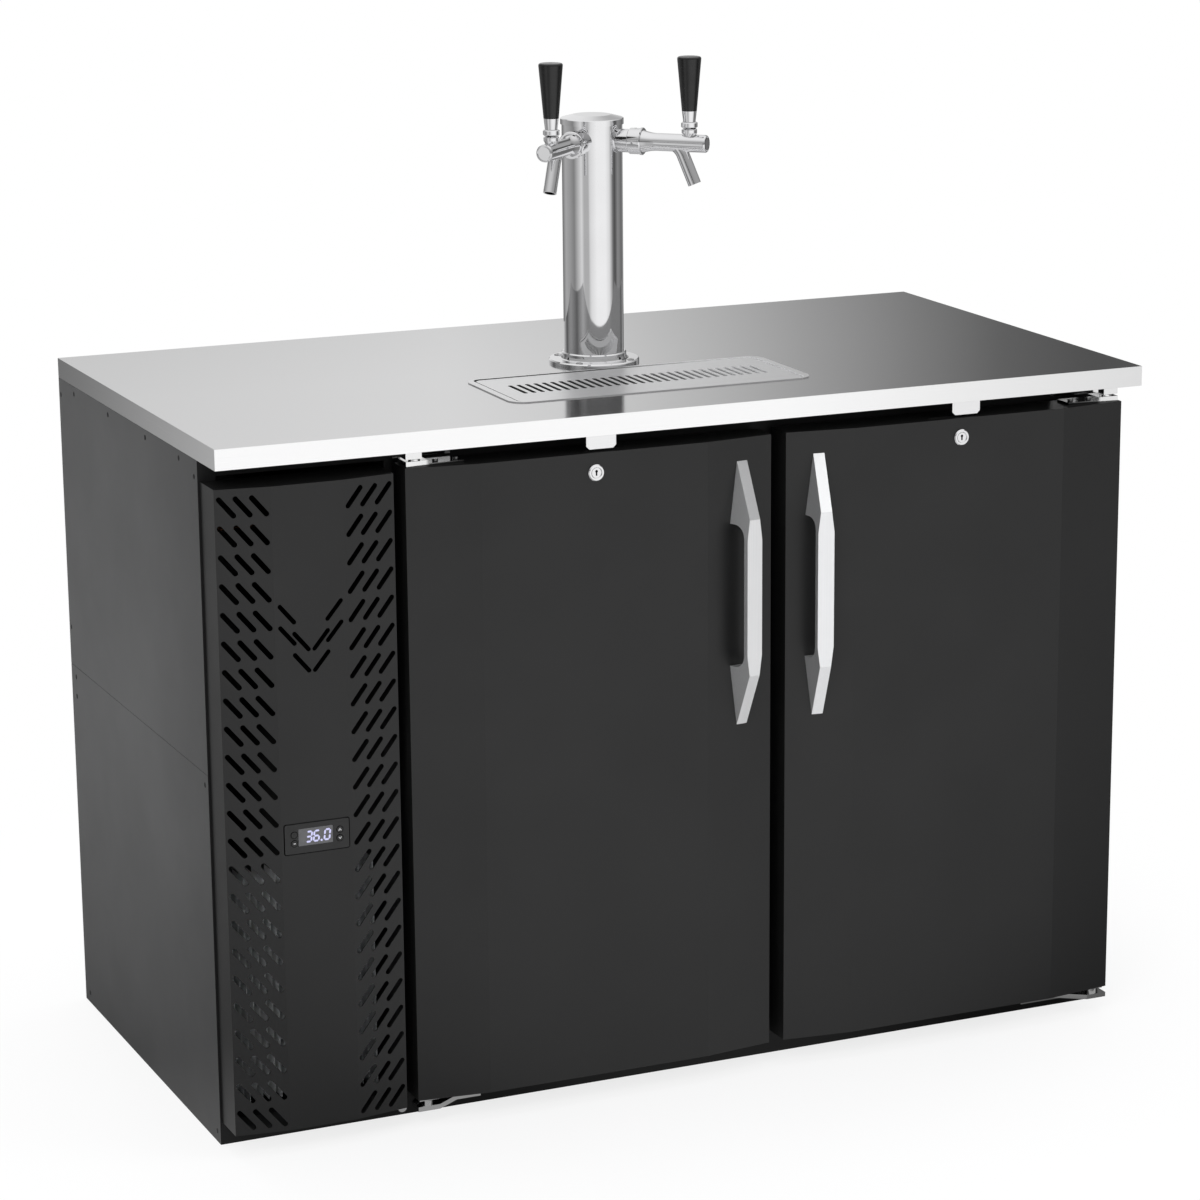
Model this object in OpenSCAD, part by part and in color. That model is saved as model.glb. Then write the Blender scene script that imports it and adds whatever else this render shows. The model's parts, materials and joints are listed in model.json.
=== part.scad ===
// Draft beer cooler: a two-door keg cabinet with a side machine bay, a stainless worktop,
// a recessed drip tray and a two-tap tower. Origin on the floor, +X right, front faces -Y.

/* [Cabinet] */
// Width of the cabinet and worktop
cab_w = 1220; // [1180:2:1400]
// Depth of the worktop from front edge to back edge
top_d = 640; // [620:2:740]
// Height of the worktop above the floor
top_h = 864; // [840:1:940]
// Thickness of the worktop
top_t = 25; // [23:0.5:32]
// Distance the worktop stands out past the cabinet front
overhang = 67; // [66:0.5:76]
// Thickness of the painted sheet panels
sheet = 1.5; // [1:0.1:2]
// Height of the foamed base
base_h = 28; // [26:0.5:30]
// Height of the seam between the two left side panels
seam_z = 462; // [300:1:600]
// Width of the folded front flange on the left side panels
panel_flange = 22; // [16:1:40]
// Thickness of the foam behind the chamber
back_foam = 46; // [35:1:70]
// Thickness of the chamber liner
liner_t = 1.2; // [0.8:0.1:2]
// Depth of the post between the two doors
mullion_d = 50; // [35:1:80]
// Diameter of the side panel screws
screw_d = 6; // [4:0.5:8]

/* [Doors] */
// Gap between the two doors
door_gap = 20; // [12:0.5:30]
// Distance from the right door to the right side
right_margin = 19.2; // [10:0.2:30]
// Height of the doors' lower edge
door_z0 = 35; // [34:0.5:40]
// Gap between the doors and the worktop
door_top_gap = 21; // [20:0.5:28]
// Thickness of a door at its edges
door_edge_t = 40; // [36:0.5:44]
// Width of the angled facets at a door's sides
facet_w = 90; // [70:1:130]
// Set-back of a door's edge from its centre face
facet_d = 11; // [6:0.5:13]
// Thickness of the door gasket
gasket_t = 11; // [9:0.5:12]
// Width of the door gasket
gasket_w = 14; // [12:0.5:20]
// Gasket inset from the door's top, bottom and free edges
gasket_inset = 6; // [3:0.5:9]
// Gasket inset from the hinged edge
gasket_hinge_inset = 17; // [17:0.5:24]
// Height of the raised panel inside a door
door_plug_h = 6; // [2:0.5:7]

/* [Handles] */
// Distance from the door's top edge to the handle's middle
handle_drop = 193; // [185:1:400]
// Distance of the handle from the door's free edge
handle_inset = 42; // [34:0.5:55]
// Overall length of a handle
handle_len = 330; // [250:2:350]
// Distance between the two front ridges
handle_ridge = 195; // [180:1:220]
// Height of a handle above the door
handle_h = 30; // [27:0.5:40]
// Thickness of the grip
grip_t = 6; // [5:0.5:9]
// Width of the grip's front face
grip_w = 21; // [16:0.5:28]
// Width of the ends and ridges
handle_tip_w = 14.4; // [10:0.2:16]
// Width of a foot at the door
foot_w = 33.6; // [28:0.2:40]
// Length of the finger gap along the door
finger_gap = 178; // [150:1:178]
// Radius at the ends of the finger gap
finger_r = 17; // [8:0.5:20]

/* [Locks] */
// Distance from the door's top edge to the lock
lock_drop = 24; // [20:0.5:30]
// Diameter of the lock's bright ring
lock_ring_d = 20.5; // [19:0.5:26]
// Height of the ring above the door
lock_ring_h = 3; // [2:0.5:5]
// Diameter of the lock barrel
lock_d = 16; // [15:0.5:18]
// Diameter of the turning plug
plug_d = 12; // [10:0.5:12.5]
// Length of the cam from the plug's axis
cam_len = 38; // [34:0.5:40]
// Width of the cam
cam_w = 12; // [8:0.5:14]
// Width of a strike tab
tab_w = 39; // [30:1:50]
// Sideways offset of a strike tab from its lock
tab_shift = 10; // [4:0.5:12]

/* [Hinges] */
// Distance of a hinge pin from the door's hinged edge
pin_inset = 16; // [14:0.5:17]
// Distance of a hinge pin behind the door's edge face
pin_setback = 12; // [10:0.5:14]
// Diameter of the hinge pins
pin_d = 8; // [6:0.5:9]
// Radial running clearance of pins, plugs and shafts
run_clear = 0.05; // [0.02:0.01:0.09]
// Length of the hinge plates along the door
hinge_len = 75; // [60:1:90]
// Thickness of the hinge plates
hinge_t = 3; // [2.5:0.1:3.4]

/* [Grille] */
// Gap between the grille and the left side
grille_margin = 2.6; // [1:0.1:6]
// Width of the grille panel
grille_w = 217.4; // [214:0.2:240]
// Gap between the grille and the left door
grille_gap = 14.6; // [12:0.2:24]
// Height of the grille's lower edge
grille_z0 = 29; // [29:0.5:36]
// Gap between the grille and the worktop
grille_top_gap = 25; // [20:0.5:40]
// Width of the grille's angled facets
grille_facet_w = 65; // [64:0.5:68]
// Set-back of the grille's edges from its centre face
grille_facet_d = 9.5; // [5:0.5:10]
// Width of a vent slot
slot_w = 6.4; // [4:0.1:7]
// Distance between the two end centres of a slot
slot_len = 25.4; // [20:0.2:29]
// Slope of the slots
slot_angle = 50; // [46:1:60]
// Height step between slot rows
slot_rise = 33.85; // [32:0.05:40]
// Sideways step between slots
slot_step = 19; // [18.5:0.1:19.5]
// Distance of the first slot from the panel's edge
slot_edge = 13.8; // [13.5:0.1:15]
// Slots across one facet
slot_columns = 3; // [1:1:3]
// Distance of the slot rows' middle below the panel's middle
slot_low = 1.4; // [0:0.1:4]
// Height of the upper chevron's point row
chevron_z = 628; // [500:1:700]
// Width of a chevron slot
chevron_w = 5.4; // [4:0.1:6]
// Distance between the two end centres of a chevron slot
chevron_len = 26; // [20:0.5:27]

/* [Controller] */
// Width of the controller's frame
ctrl_w = 79.5; // [76:0.5:82]
// Height of the controller's frame
ctrl_h = 36; // [34:0.5:44]
// Height of the controller's middle
ctrl_z = 390.6; // [250:0.2:520]
// Thickness of the controller's frame
ctrl_t = 4.5; // [4.2:0.1:6]
// Height of the frame's face above the grille
ctrl_proud = 0.8; // [0.2:0.1:1.5]
// Gap between the frame and its cut-out in the grille
ctrl_gap = 1.2; // [0.6:0.1:2]
// Depth of the controller's body
ctrl_d = 40; // [20:1:48]
// Width of the display window
screen_w = 42.5; // [36:0.5:44]
// Height of the display window
screen_h = 21; // [16:0.5:24]
// Sideways offset of the display window from the frame's middle
screen_x = -1.6; // [-2.4:0.1:0]
// Height offset of the display window from the frame's middle
screen_z = 1.2; // [0:0.1:2]
// Sideways distance of the buttons from the middle
button_x = 28.2; // [27.5:0.1:31]
// Height distance of the buttons from the middle
button_z = 5.2; // [4.8:0.1:6]
// Diameter of a button
button_d = 7.4; // [6:0.1:8]
// Travel of a button
button_travel = 0.6; // [0.4:0.1:0.8]

/* [Drip tray] */
// Width of the tray's lip beside the grate
tray_side = 12; // [6:0.5:30]
// Width of the tray's lip before and behind the grate
tray_front = 7; // [6:0.5:20]
// Distance from the worktop's front edge to the tray's middle
tray_y = 188; // [160:1:192]
// Corner radius of the lip
tray_r = 22; // [14:1:30]
// Thickness of the tray's sheet
tray_t = 1.2; // [0.8:0.1:1.6]
// Depth of the tray below the worktop
tray_depth = 20; // [14:0.5:20]
// Width of the lift-out grate
grate_w = 380; // [260:1:460]
// Depth of the lift-out grate
grate_d = 152; // [120:1:170]
// Thickness of the grate
grate_t = 1.5; // [1.2:0.1:3]
// Depth of the grate's face below the lip
grate_sink = 0.7; // [0:0.1:3]
// Gap between the grate and the tray's wall
tray_clear = 2.5; // [1:0.1:3]
// Distance from the grate's ends to the first and last drain slots
drain_margin = 25; // [22:1:60]
// Distance between drain slots
drain_pitch = 11.2; // [9:0.1:16]
// Length of a drain slot
drain_len = 56; // [30:1:80]
// Width of a drain slot
drain_w = 5.4; // [3:0.1:6]

/* [Tower] */
// Gap between the tower's flange and the drip tray
tower_gap = 0.5; // [0.5:0.5:40]
// Diameter of the tower column
column_d = 76.2; // [74:0.2:90]
// Wall thickness of the column
column_t = 1.5; // [1:0.1:3]
// Height of the column's top above the worktop
column_h = 300.5; // [250:0.5:330]
// Width of the foot flange beyond the column
flange_rim = 19.4; // [19:0.1:28]
// Thickness of the foot flange
flange_t = 5; // [4:0.5:8]
// Height of the collar round the column's foot
collar_h = 14; // [10:0.5:20]
// Wall thickness of that collar
collar_t = 3; // [2:0.5:4]
// Distance of the flange's screws from the column
flange_screw_out = 11.4; // [11:0.1:12.5]
// Overhang of the cap past the column
cap_lip = 1.7; // [0.5:0.1:5]
// Height of the cap's rim
cap_rim = 7.5; // [6:0.5:14]
// Height of the cap's cone above its rim
cap_cone = 4; // [2:0.5:12]
// Diameter of the cap's flat top
cap_flat = 46; // [20:1:60]
// Diameter of the line passage through worktop and cabinet
passage_d = 66; // [50:1:68]

/* [Faucets] */
// Angle of each faucet from straight ahead
faucet_angle = 46; // [44:1:60]
// Depth of the faucet axis below the column's top
faucet_drop = 19.5; // [16:0.5:30]
// Diameter of the shank's sleeve
shank_d = 29; // [27:0.5:30]
// Length of the sleeve beyond the column
shank_len = 12.4; // [10:0.2:16]
// Diameter of the coupling nut
nut_d = 32.4; // [31.6:0.2:36]
// Length of the coupling nut
nut_len = 17.6; // [15:0.2:20]
// Distance from the nut to the faucet's front end
faucet_len = 84; // [82:0.5:95]
// Diameter of the faucet barrel
barrel_d = 22; // [21:0.2:24]
// Distance from the front end back to the lever
lever_back = 23.4; // [22:0.2:26]
// Diameter of the spout tube
spout_d = 16.5; // [15.5:0.1:18]
// Bore of the spout
spout_bore = 13; // [11:0.1:13.4]
// Forward slope of the spout from vertical
spout_slope = 23; // [18:1:26]
// Distance from the barrel's axis down to the spout's end
spout_drop = 50.5; // [42:0.5:70]
// Bend radius where the spout leaves the barrel
spout_bend = 24; // [22:0.5:27]
// Height of the lever's pivot above the barrel's axis
pivot_h = 10; // [9.5:0.1:11]
// Diameter of the bonnet that holds the lever
bonnet_d = 19.2; // [18.4:0.2:19.4]
// Height of the bonnet's top above the pivot
bonnet_h = 8.6; // [8:0.1:8.6]
// Full pull of the lever
lever_pull = 30; // [15:1:32]
// Diameter of the lever's collar
lever_collar_d = 20.5; // [20:0.1:21]
// Height of that collar
lever_collar_h = 6.8; // [6.2:0.1:9]
// Height of the bright ferrule
ferrule_h = 14; // [8:0.5:24]
// Diameter of the knob's lower end
knob_d0 = 18.9; // [16:0.1:22]
// Diameter of the knob's upper end
knob_d1 = 30; // [24:0.5:40]
// Height of the knob
knob_h = 67.4; // [50:0.2:100]
// Diameter of the valve shaft
shaft_d = 6; // [5:0.1:6.4]

/* [Refrigeration] */
// Diameter of the compressor shell
comp_d = 150; // [120:1:160]
// Height of the compressor shell
comp_h = 182; // [140:1:260]
// Height of the rubber mounts
mount_h = 18; // [12:0.5:24]
// Width of the condenser
cond_w = 188; // [182:1:190]
// Height of the condenser
cond_h = 300; // [240:2:330]
// Depth of the condenser
cond_d = 45; // [35:1:50]
// Distance from the cabinet front to the condenser
cond_y = 18; // [12:1:30]
// Number of condenser fins
cond_fins = 22; // [8:1:24]
// Diameter of the condenser fan
fan_d = 166; // [140:1:168]
// Diameter of the evaporator fan
evap_fan_d = 120; // [90:1:130]
// Radius of the refrigerant lines
line_r = 4; // [3:0.1:4.5]

/* [Hidden] */
$fn = 48;
fit = 0.2;
gap = 0.3;
eps = 0.05;
over = 1;

x_left = -cab_w / 2;
x_right = cab_w / 2;
y_front = -top_d / 2;
y_back = top_d / 2;
y_cab = y_front + overhang;
z_under = top_h - top_t;

grille_x0 = x_left + grille_margin;
grille_x1 = grille_x0 + grille_w;
grille_xc = (grille_x0 + grille_x1) / 2;
grille_z1 = z_under - grille_top_gap;
door_w = (x_right - right_margin - grille_x1 - grille_gap - door_gap) / 2;
left_x = grille_x1 + grille_gap;
right_x = x_right - right_margin;
door_z1 = z_under - door_top_gap;
door_back = y_cab - gasket_t;
door_edge = door_back - door_edge_t;
door_face = door_edge - facet_d;
door_slope = atan(facet_d / facet_w);
lock_z = door_z1 - lock_drop;
handle_z = door_z1 - handle_drop;
pin_y = door_edge + pin_setback;
grille_edge = y_cab - gasket_t - door_edge_t;
grille_face = grille_edge - grille_facet_d;
grille_slope = atan(grille_facet_d / grille_facet_w);

body_x0 = grille_x1 + grille_gap / 2;
body_x1 = x_right - sheet - fit;
body_y1 = y_back - sheet - fit;
open_hinge = gasket_hinge_inset + gasket_w + 1;
open_free = gasket_inset + gasket_w + 1;
chamber_x0 = left_x + open_hinge;
chamber_x1 = right_x - open_hinge;
chamber_y1 = body_y1 - back_foam;
chamber_z0 = door_z0 + open_free;
chamber_z1 = door_z1 - open_free;
mullion_x0 = left_x + door_w - open_free;
mullion_x1 = right_x - door_w + open_free;
liner_y0 = y_cab + mullion_d + fit;
liner_x0 = chamber_x0 + fit + liner_t;
bay_xc = (x_left + sheet + body_x0) / 2;

tray_yc = y_front + tray_y;
tray_w = grate_w + 2 * tray_side;
tray_d = grate_d + 2 * tray_front;
well_w = grate_w + 2 * tray_clear;
well_d = grate_d + 2 * tray_clear;
well_r = 12;
tray_lip = 1.2;

flange_d = column_d + 2 * flange_rim;
flange_pcd = column_d + 2 * flange_screw_out;
cap_d = column_d + 2 * cap_lip;
tower_y = tray_yc + tray_d / 2 + tower_gap + flange_d / 2;
column_z = top_h + flange_t + fit;
column_top = top_h + column_h;
faucet_z = column_top - faucet_drop;
column_r = column_d / 2;
shank_end = column_r + shank_len;
nut_end = shank_end + fit + nut_len;
faucet_end = nut_end + faucet_len;
lever_at = faucet_end - lever_back;
barrel_r = barrel_d / 2;
shaft_r = shaft_d / 2;
spout_turn = 90 - spout_slope;
spout_start = lever_at - 30.4;
bend_l = spout_start + spout_bend * sin(spout_turn);
bend_h = -spout_bend * (1 - cos(spout_turn));
spout_len = (spout_drop + bend_h) / cos(spout_slope);

fan_behind = 32;
fan_lift = 8;
fan_y = y_cab + cond_y + cond_d + fan_behind;
fan_z = base_h + cond_h / 2 + fan_lift;
evap_d = 92;
evap_w = 194;
evap_h = 270;
evap_back = 8;
evap_drop = 27;
coil_lift = 12;
coil_h = 100;
evap_edge = 18;
evap_x1 = liner_x0 + evap_d;
evap_y1 = chamber_y1 - evap_back;
evap_y0 = evap_y1 - evap_w;
evap_z1 = chamber_z1 - evap_drop;
evap_z0 = evap_z1 - evap_h;
coil_z0 = evap_z0 + coil_lift;
coil_z1 = coil_z0 + coil_h;
evap_fan_y = (evap_y0 + evap_y1) / 2;
evap_fan_z = evap_z1 - evap_edge - evap_fan_d / 2;
evap_fan_in = 12;
comp_back = 93;
comp_y = body_y1 - comp_back - comp_d / 2;
line_in = 25;
line_rise = 28;
suction_y = evap_y1 - line_in;
capillary_y = evap_y0 + line_in;
line_z = coil_z1 + line_rise;

// Side panel screw places as [y, z] on the left side
screw_row = [0.12, 0.35, 0.62, 0.88];
screw_top = 10;
screw_corner = 21;
screw_front = 12;
screw_rear = 8;
screw_seam = 14;
screw_pair = 26;
screw_high = 50;
upper_screws = concat(
  [for (t = screw_row) [y_cab + t * (y_back - y_cab), z_under - screw_top]],
  [[y_back - screw_rear, z_under - screw_corner], [y_cab + screw_front, z_under - screw_corner],
  [y_back - screw_rear, seam_z + screw_high]]
);
lower_screws = [
  [y_back - screw_corner, seam_z - screw_seam],
  [y_back - screw_corner, seam_z - screw_seam - screw_pair],
  [y_cab + screw_front, seam_z - screw_seam],
  [y_cab + screw_front, base_h / 2],
  [y_back - screw_corner, base_h / 2]
];

// Flat rectangle with true round corners, centred
module rounded_rect(w, d, r) {
  square([w - 2 * r, d], center = true);
  square([w, d - 2 * r], center = true);
  for (sx = [-1, 1])
    for (sy = [-1, 1])
      translate([sx * (w / 2 - r), sy * (d / 2 - r)])
        circle(r);
}

// Flat slot with round ends, centred, along X
module slot_shape(length, width) {
  square([length, width], center = true);
  for (s = [-1, 1])
    translate([s * length / 2, 0])
      circle(d = width);
}

// Box between two corners
module block(low, high) {
  translate(low)
    cube(high - low);
}

// Stands an XY drawing up in the XZ plane, its thickness running from y0 to y1
module upright(y0, y1) {
  translate([0, y1, 0])
    rotate([90, 0, 0])
      linear_extrude(y1 - y0)
        children();
}

// Moves a left-hinged door's piece to its place, mirrored for the right door
module at_door(side) {
  translate([side < 0 ? left_x : right_x, 0, 0])
    mirror([side < 0 ? 0 : 1, 0, 0])
      children();
}

// Plan outline of a pan with a flat centre and two angled side facets
function facet_plan(w, edge, facet, depth, back, wall) = [
  [wall, edge - depth * wall / facet + wall],
  [facet, edge - depth + wall],
  [w - facet, edge - depth + wall],
  [w - wall, edge - depth * wall / facet + wall],
  [w - wall, back],
  [wall, back]
];

// Folded sheet pan, open at the back, with its lower left corner at x = 0
module facet_pan(w, z0, z1, edge, facet, depth, back) {
  difference() {
    translate([0, 0, z0])
      linear_extrude(z1 - z0)
        polygon(facet_plan(w, edge, facet, depth, back, 0));
    translate([0, 0, z0 + sheet])
      linear_extrude(z1 - z0 - 2 * sheet)
        polygon(facet_plan(w, edge, facet, depth, back + over, sheet));
  }
}

// Base and panels

module base_pan() {
  color("#26272a")
    block([x_left + sheet + fit, y_cab, 0], [body_x1, body_y1, base_h]);
}

// Left side sheet with a folded front flange and its screw holes
module side_panel(z0, z1, places) {
  difference() {
    union() {
      block([x_left, y_cab, z0], [x_left + sheet, y_back, z1]);
      block([x_left, y_cab, max(z0, base_h + fit)], [x_left + panel_flange, y_cab + sheet, z1]);
    }
    for (p = places)
      translate([x_left - over, p[0], p[1]])
        rotate([0, 90, 0])
          cylinder(d = screw_d + 2 * fit, h = sheet + 2 * over);
  }
}

module side_panel_upper() {
  color("#3a3b3e")
    side_panel(seam_z + fit, z_under - fit, upper_screws);
}

module side_panel_lower() {
  color("#3a3b3e")
    side_panel(0, seam_z - fit, lower_screws);
}

module side_panel_right() {
  color("#3a3b3e")
    block([x_right - sheet, y_cab, 0], [x_right, y_back, z_under - fit]);
}

vent_rows = 12;
vent_pitch = 18;
vent_w = 120;
vent_h = 5;
gland_x = bay_xc - 70;
gland_z = base_h + 45;
gland_bore = 9;
gland_d = 20;

module back_panel() {
  color("#3a3b3e")
    difference() {
      block([x_left + sheet + fit, y_back - sheet, 0], [body_x1, y_back, z_under - fit]);
      upright(y_back - sheet - over, y_back + over) {
        for (i = [0 : vent_rows - 1])
          translate([bay_xc, base_h + 90 + i * vent_pitch])
            slot_shape(vent_w, vent_h);
        translate([gland_x, gland_z])
          circle(d = gland_d + 2 * fit);
      }
    }
}

// Strain-relief inlet for the mains lead: a flanged bush through the back panel
module cord_gland() {
  flange_h = 4;
  bush_l = 14;
  color("#151515")
    translate([gland_x, y_back + flange_h, gland_z])
      rotate([90, 0, 0])
        difference() {
          union() {
            cylinder(d = gland_d + 8, h = flange_h - fit);
            cylinder(d = gland_d, h = flange_h + bush_l);
          }
          translate([0, 0, -over])
            cylinder(d = gland_bore, h = flange_h + bush_l + 2 * over);
        }
}

rail_h = 20;

// Foam-filled cabinet round the keg chamber, with the post between the doors
module insulated_body() {
  color("#1d1e20")
    difference() {
      union() {
        block([body_x0, y_cab, base_h + fit], [body_x1, body_y1, z_under - fit]);
        block([x_left + panel_flange + fit, y_cab, z_under - fit - rail_h],
           [body_x0, y_cab + rail_h, z_under - fit]);
      }
      difference() {
        block([chamber_x0, y_cab - over, chamber_z0], [chamber_x1, chamber_y1, chamber_z1]);
        block([mullion_x0, y_cab - 2 * over, chamber_z0 - over],
           [mullion_x1, y_cab + mullion_d, chamber_z1 + over]);
      }
      translate([0, tower_y, chamber_z1 - over])
        cylinder(d = passage_d, h = top_h);
      line_holes();
    }
}

// Holes in the chamber's left wall for the suction and capillary lines
module line_holes() {
  for (p = [[suction_y, line_r + 3], [capillary_y, line_r]])
    translate([body_x0 - over, p[0], line_z])
      rotate([0, 90, 0])
        cylinder(r = p[1], h = chamber_x0 - body_x0 + liner_t + 4 * over);
}

module chamber_liner() {
  low = [chamber_x0 + fit, liner_y0, chamber_z0 + fit];
  high = [chamber_x1 - fit, chamber_y1 - fit, chamber_z1 - fit];
  wall = [liner_t, liner_t, liner_t];
  color("#c9ccce")
    difference() {
      block(low, high);
      block(low + [liner_t, -over, liner_t], high - wall);
      translate([0, tower_y, chamber_z1 - 3 * over])
        cylinder(d = passage_d, h = 5 * over);
      line_holes();
    }
}

// Worktop and drip tray

flange_screw_d = 5;
flange_screw_h = 2.4;
flange_screw_l = 16;

module at_flange_screws() {
  for (a = [45 : 90 : 315])
    translate([0, tower_y, 0])
      rotate([0, 0, a])
        translate([flange_pcd / 2, 0, 0])
          children();
}

module worktop() {
  color("#b9bbbd")
    difference() {
      block([x_left, y_front, z_under], [x_right, y_back, top_h]);
      translate([0, tray_yc, z_under - over])
        linear_extrude(top_t + 2 * over)
          rounded_rect(well_w + 2 * (tray_t + fit), well_d + 2 * (tray_t + fit), well_r);
      translate([0, tower_y, z_under - over])
        cylinder(d = passage_d, h = top_t + 2 * over);
      at_flange_screws()
        translate([0, 0, top_h - flange_screw_l])
          cylinder(d = flange_screw_d + 2 * fit, h = flange_screw_l + over);
    }
}

module drip_tray() {
  color("#c4c6c8")
    translate([0, tray_yc, top_h])
      difference() {
        union() {
          linear_extrude(tray_lip)
            rounded_rect(tray_w, tray_d, tray_r);
          translate([0, 0, -tray_depth - tray_t])
            linear_extrude(tray_depth + tray_t)
              rounded_rect(well_w + 2 * tray_t, well_d + 2 * tray_t, well_r);
        }
        translate([0, 0, -tray_depth])
          linear_extrude(tray_depth + tray_lip + over)
            rounded_rect(well_w, well_d, well_r - tray_t);
      }
}

// Lift-out plate with a row of drain slots, on four feet
module drip_grate() {
  foot_d = 12;
  foot_in = 14;
  foot_h = tray_depth + tray_lip - grate_sink - grate_t - gap;
  drains = floor((grate_w - 2 * drain_margin) / drain_pitch) + 1;
  color("#c9cbcd")
    translate([0, tray_yc, top_h + tray_lip - grate_sink - grate_t]) {
      linear_extrude(grate_t)
        difference() {
          rounded_rect(grate_w, grate_d, well_r - tray_t);
          for (i = [0 : drains - 1])
            translate([(i - (drains - 1) / 2) * drain_pitch, 0])
              rotate(90)
                slot_shape(drain_len - drain_w, drain_w);
        }
      for (sx = [-1, 1])
        for (sy = [-1, 1])
          translate([sx * (grate_w / 2 - foot_in), sy * (grate_d / 2 - foot_in), -foot_h])
            cylinder(d = foot_d, h = foot_h);
    }
}

// Tap tower

module tower_flange() {
  color("#d7d9db")
    translate([0, tower_y, top_h + eps])
      difference() {
        rotate_extrude()
          polygon([
            [passage_d / 2, 0], [flange_d / 2, 0], [flange_d / 2, flange_t - 1.5],
            [flange_d / 2 - 1.5, flange_t], [column_r + collar_t + 3, flange_t],
            [column_r + collar_t + 1, flange_t + 1], [column_r + collar_t, flange_t + 4],
            [column_r + collar_t, collar_h - 1.5], [column_r + collar_t - 1.5, collar_h],
            [column_r + fit, collar_h], [column_r + fit, flange_t], [passage_d / 2, flange_t]
          ]);
        translate([0, -tower_y, 0])
          at_flange_screws()
            translate([0, 0, -over])
              cylinder(d = flange_screw_d + 2 * fit, h = flange_t + 2 * over);
      }
}

module tower_column() {
  color("#d9dbdd")
    difference() {
      translate([0, tower_y, column_z])
        rotate_extrude()
          translate([column_r - column_t, 0])
            square([column_t, column_top - column_z]);
      for (side = [-1, 1])
        at_faucet(side)
          translate([0, 0, column_r / 2])
            cylinder(d = shank_bore + 4 + 2 * fit, h = column_r);
    }
}

// Round cap with a straight rim, a shallow cone and a flat top, on a plug that fits the column
module tower_cap() {
  plug_r = column_r - column_t - fit;
  plug_h = 6;
  edge = 0.8;
  cap_r = cap_d / 2;
  flat_r = cap_flat / 2;
  color("#d9dbdd")
    translate([0, tower_y, column_top + fit])
      rotate_extrude()
        polygon([
          [0, -plug_h], [plug_r, -plug_h], [plug_r, 0], [cap_r, 0],
          [cap_r, cap_rim - edge], [cap_r - edge, cap_rim],
          [flat_r + edge, cap_rim + cap_cone - edge / 8], [flat_r - edge, cap_rim + cap_cone],
          [0, cap_rim + cap_cone]
        ]);
}

shank_bore = 16;
nut_wall = 2.6;
tail_r = nut_d / 2 - nut_wall - fit;
chamber_r = 7;
seat_l = nut_end + 2;
chamber_end = lever_at - 11.5;

// Points a faucet piece outward: local +Z runs along the barrel and local +Y up
module at_faucet(side) {
  translate([0, tower_y, faucet_z])
    rotate([0, 0, side * faucet_angle])
      rotate([90, 0, 0])
        children();
}

// Sleeves that carry the faucets, saddle-cut to the column, with their tubes through the wall
module faucet_shanks() {
  color("#d5d7d9")
    for (side = [-1, 1])
      at_faucet(side)
        difference() {
          union() {
            difference() {
              translate([0, 0, column_r / 2])
                cylinder(d = shank_d, h = shank_end - column_r / 2);
              rotate([90, 0, 0])
                cylinder(r = column_r + fit, h = 4 * shank_d, center = true);
            }
            translate([0, 0, column_r * 0.62])
              cylinder(d = shank_bore + 4, h = column_r * 0.5);
          }
          cylinder(d = shank_bore - 4, h = shank_end + over);
        }
}

// Round coupling nuts with spanner holes
module coupling_nuts() {
  hole_d = 3.5;
  color("#d5d7d9")
    for (side = [-1, 1])
      at_faucet(side)
        difference() {
          translate([0, 0, shank_end + fit])
            rotate_extrude()
              polygon([
                [tail_r + fit, 0], [nut_d / 2 - 1, 0], [nut_d / 2, 1],
                [nut_d / 2, nut_len - 3.5], [nut_d / 2 + 0.8, nut_len - 3],
                [nut_d / 2 + 0.8, nut_len - 0.8], [nut_d / 2, nut_len],
                [tail_r + fit, nut_len]
              ]);
          for (a = [0 : 90 : 270])
            translate([0, 0, shank_end + nut_len * 0.45])
              rotate([0, 0, a])
                rotate([0, 90, 0])
                  translate([0, 0, tail_r])
                    cylinder(d = hole_d, h = nut_d);
        }
}

end_round = 1.7;
groove_r = barrel_r - end_round - 0.3;
groove_w = 1.2;
groove_d = 1.5;

// Barrel outline from the flared rear to the rounded front end
function barrel_outline(n = 10) = concat(
  [[0, shank_end + 2 * fit], [tail_r, shank_end + 2 * fit], [tail_r, nut_end + fit]],
  [for (i = [0 : n])
    [barrel_r + (tail_r + 0.5 - barrel_r) * (1 - sin(i * 90 / n)), nut_end + fit + 18 * i / n]],
  [for (i = [0 : n / 2])
    [barrel_r - end_round * (1 - cos(i * 180 / n)), faucet_end - 2 * end_round * (1 - sin(i * 180 / n))]],
  [[groove_r, faucet_end], [groove_r, faucet_end - groove_d], [groove_r - groove_w, faucet_end - groove_d],
  [groove_r - groove_w, faucet_end], [0, faucet_end]]
);

// Wedge in the barrel's mid plane that the lever sweeps above and below its pivot
module lever_sweep(half, reach_up, reach_down) {
  lean = half / cos(lever_pull);
  rise = tan(lever_pull);
  translate([0, pivot_h, lever_at])
    rotate([0, -90, 0])
      linear_extrude(2 * half, center = true)
        polygon([
          [-half, reach_up], [lean + reach_up * rise, reach_up], [lean, 0], [half, 0],
          [half, -reach_down], [-lean - reach_down * rise, -reach_down], [-lean, 0], [-half, 0]
        ]);
}

lever_r = 3;
arm_r = 2;
ball_r = 5;
pivot_r = 2;
bonnet_waist = bonnet_d / 2 - 2.2;
bonnet_sink = 5;
bonnet_dip = 1;
bonnet_flare = 3.1;
bonnet_edge = 1.5;
pivot_reach = bonnet_waist - 1.1;

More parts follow.
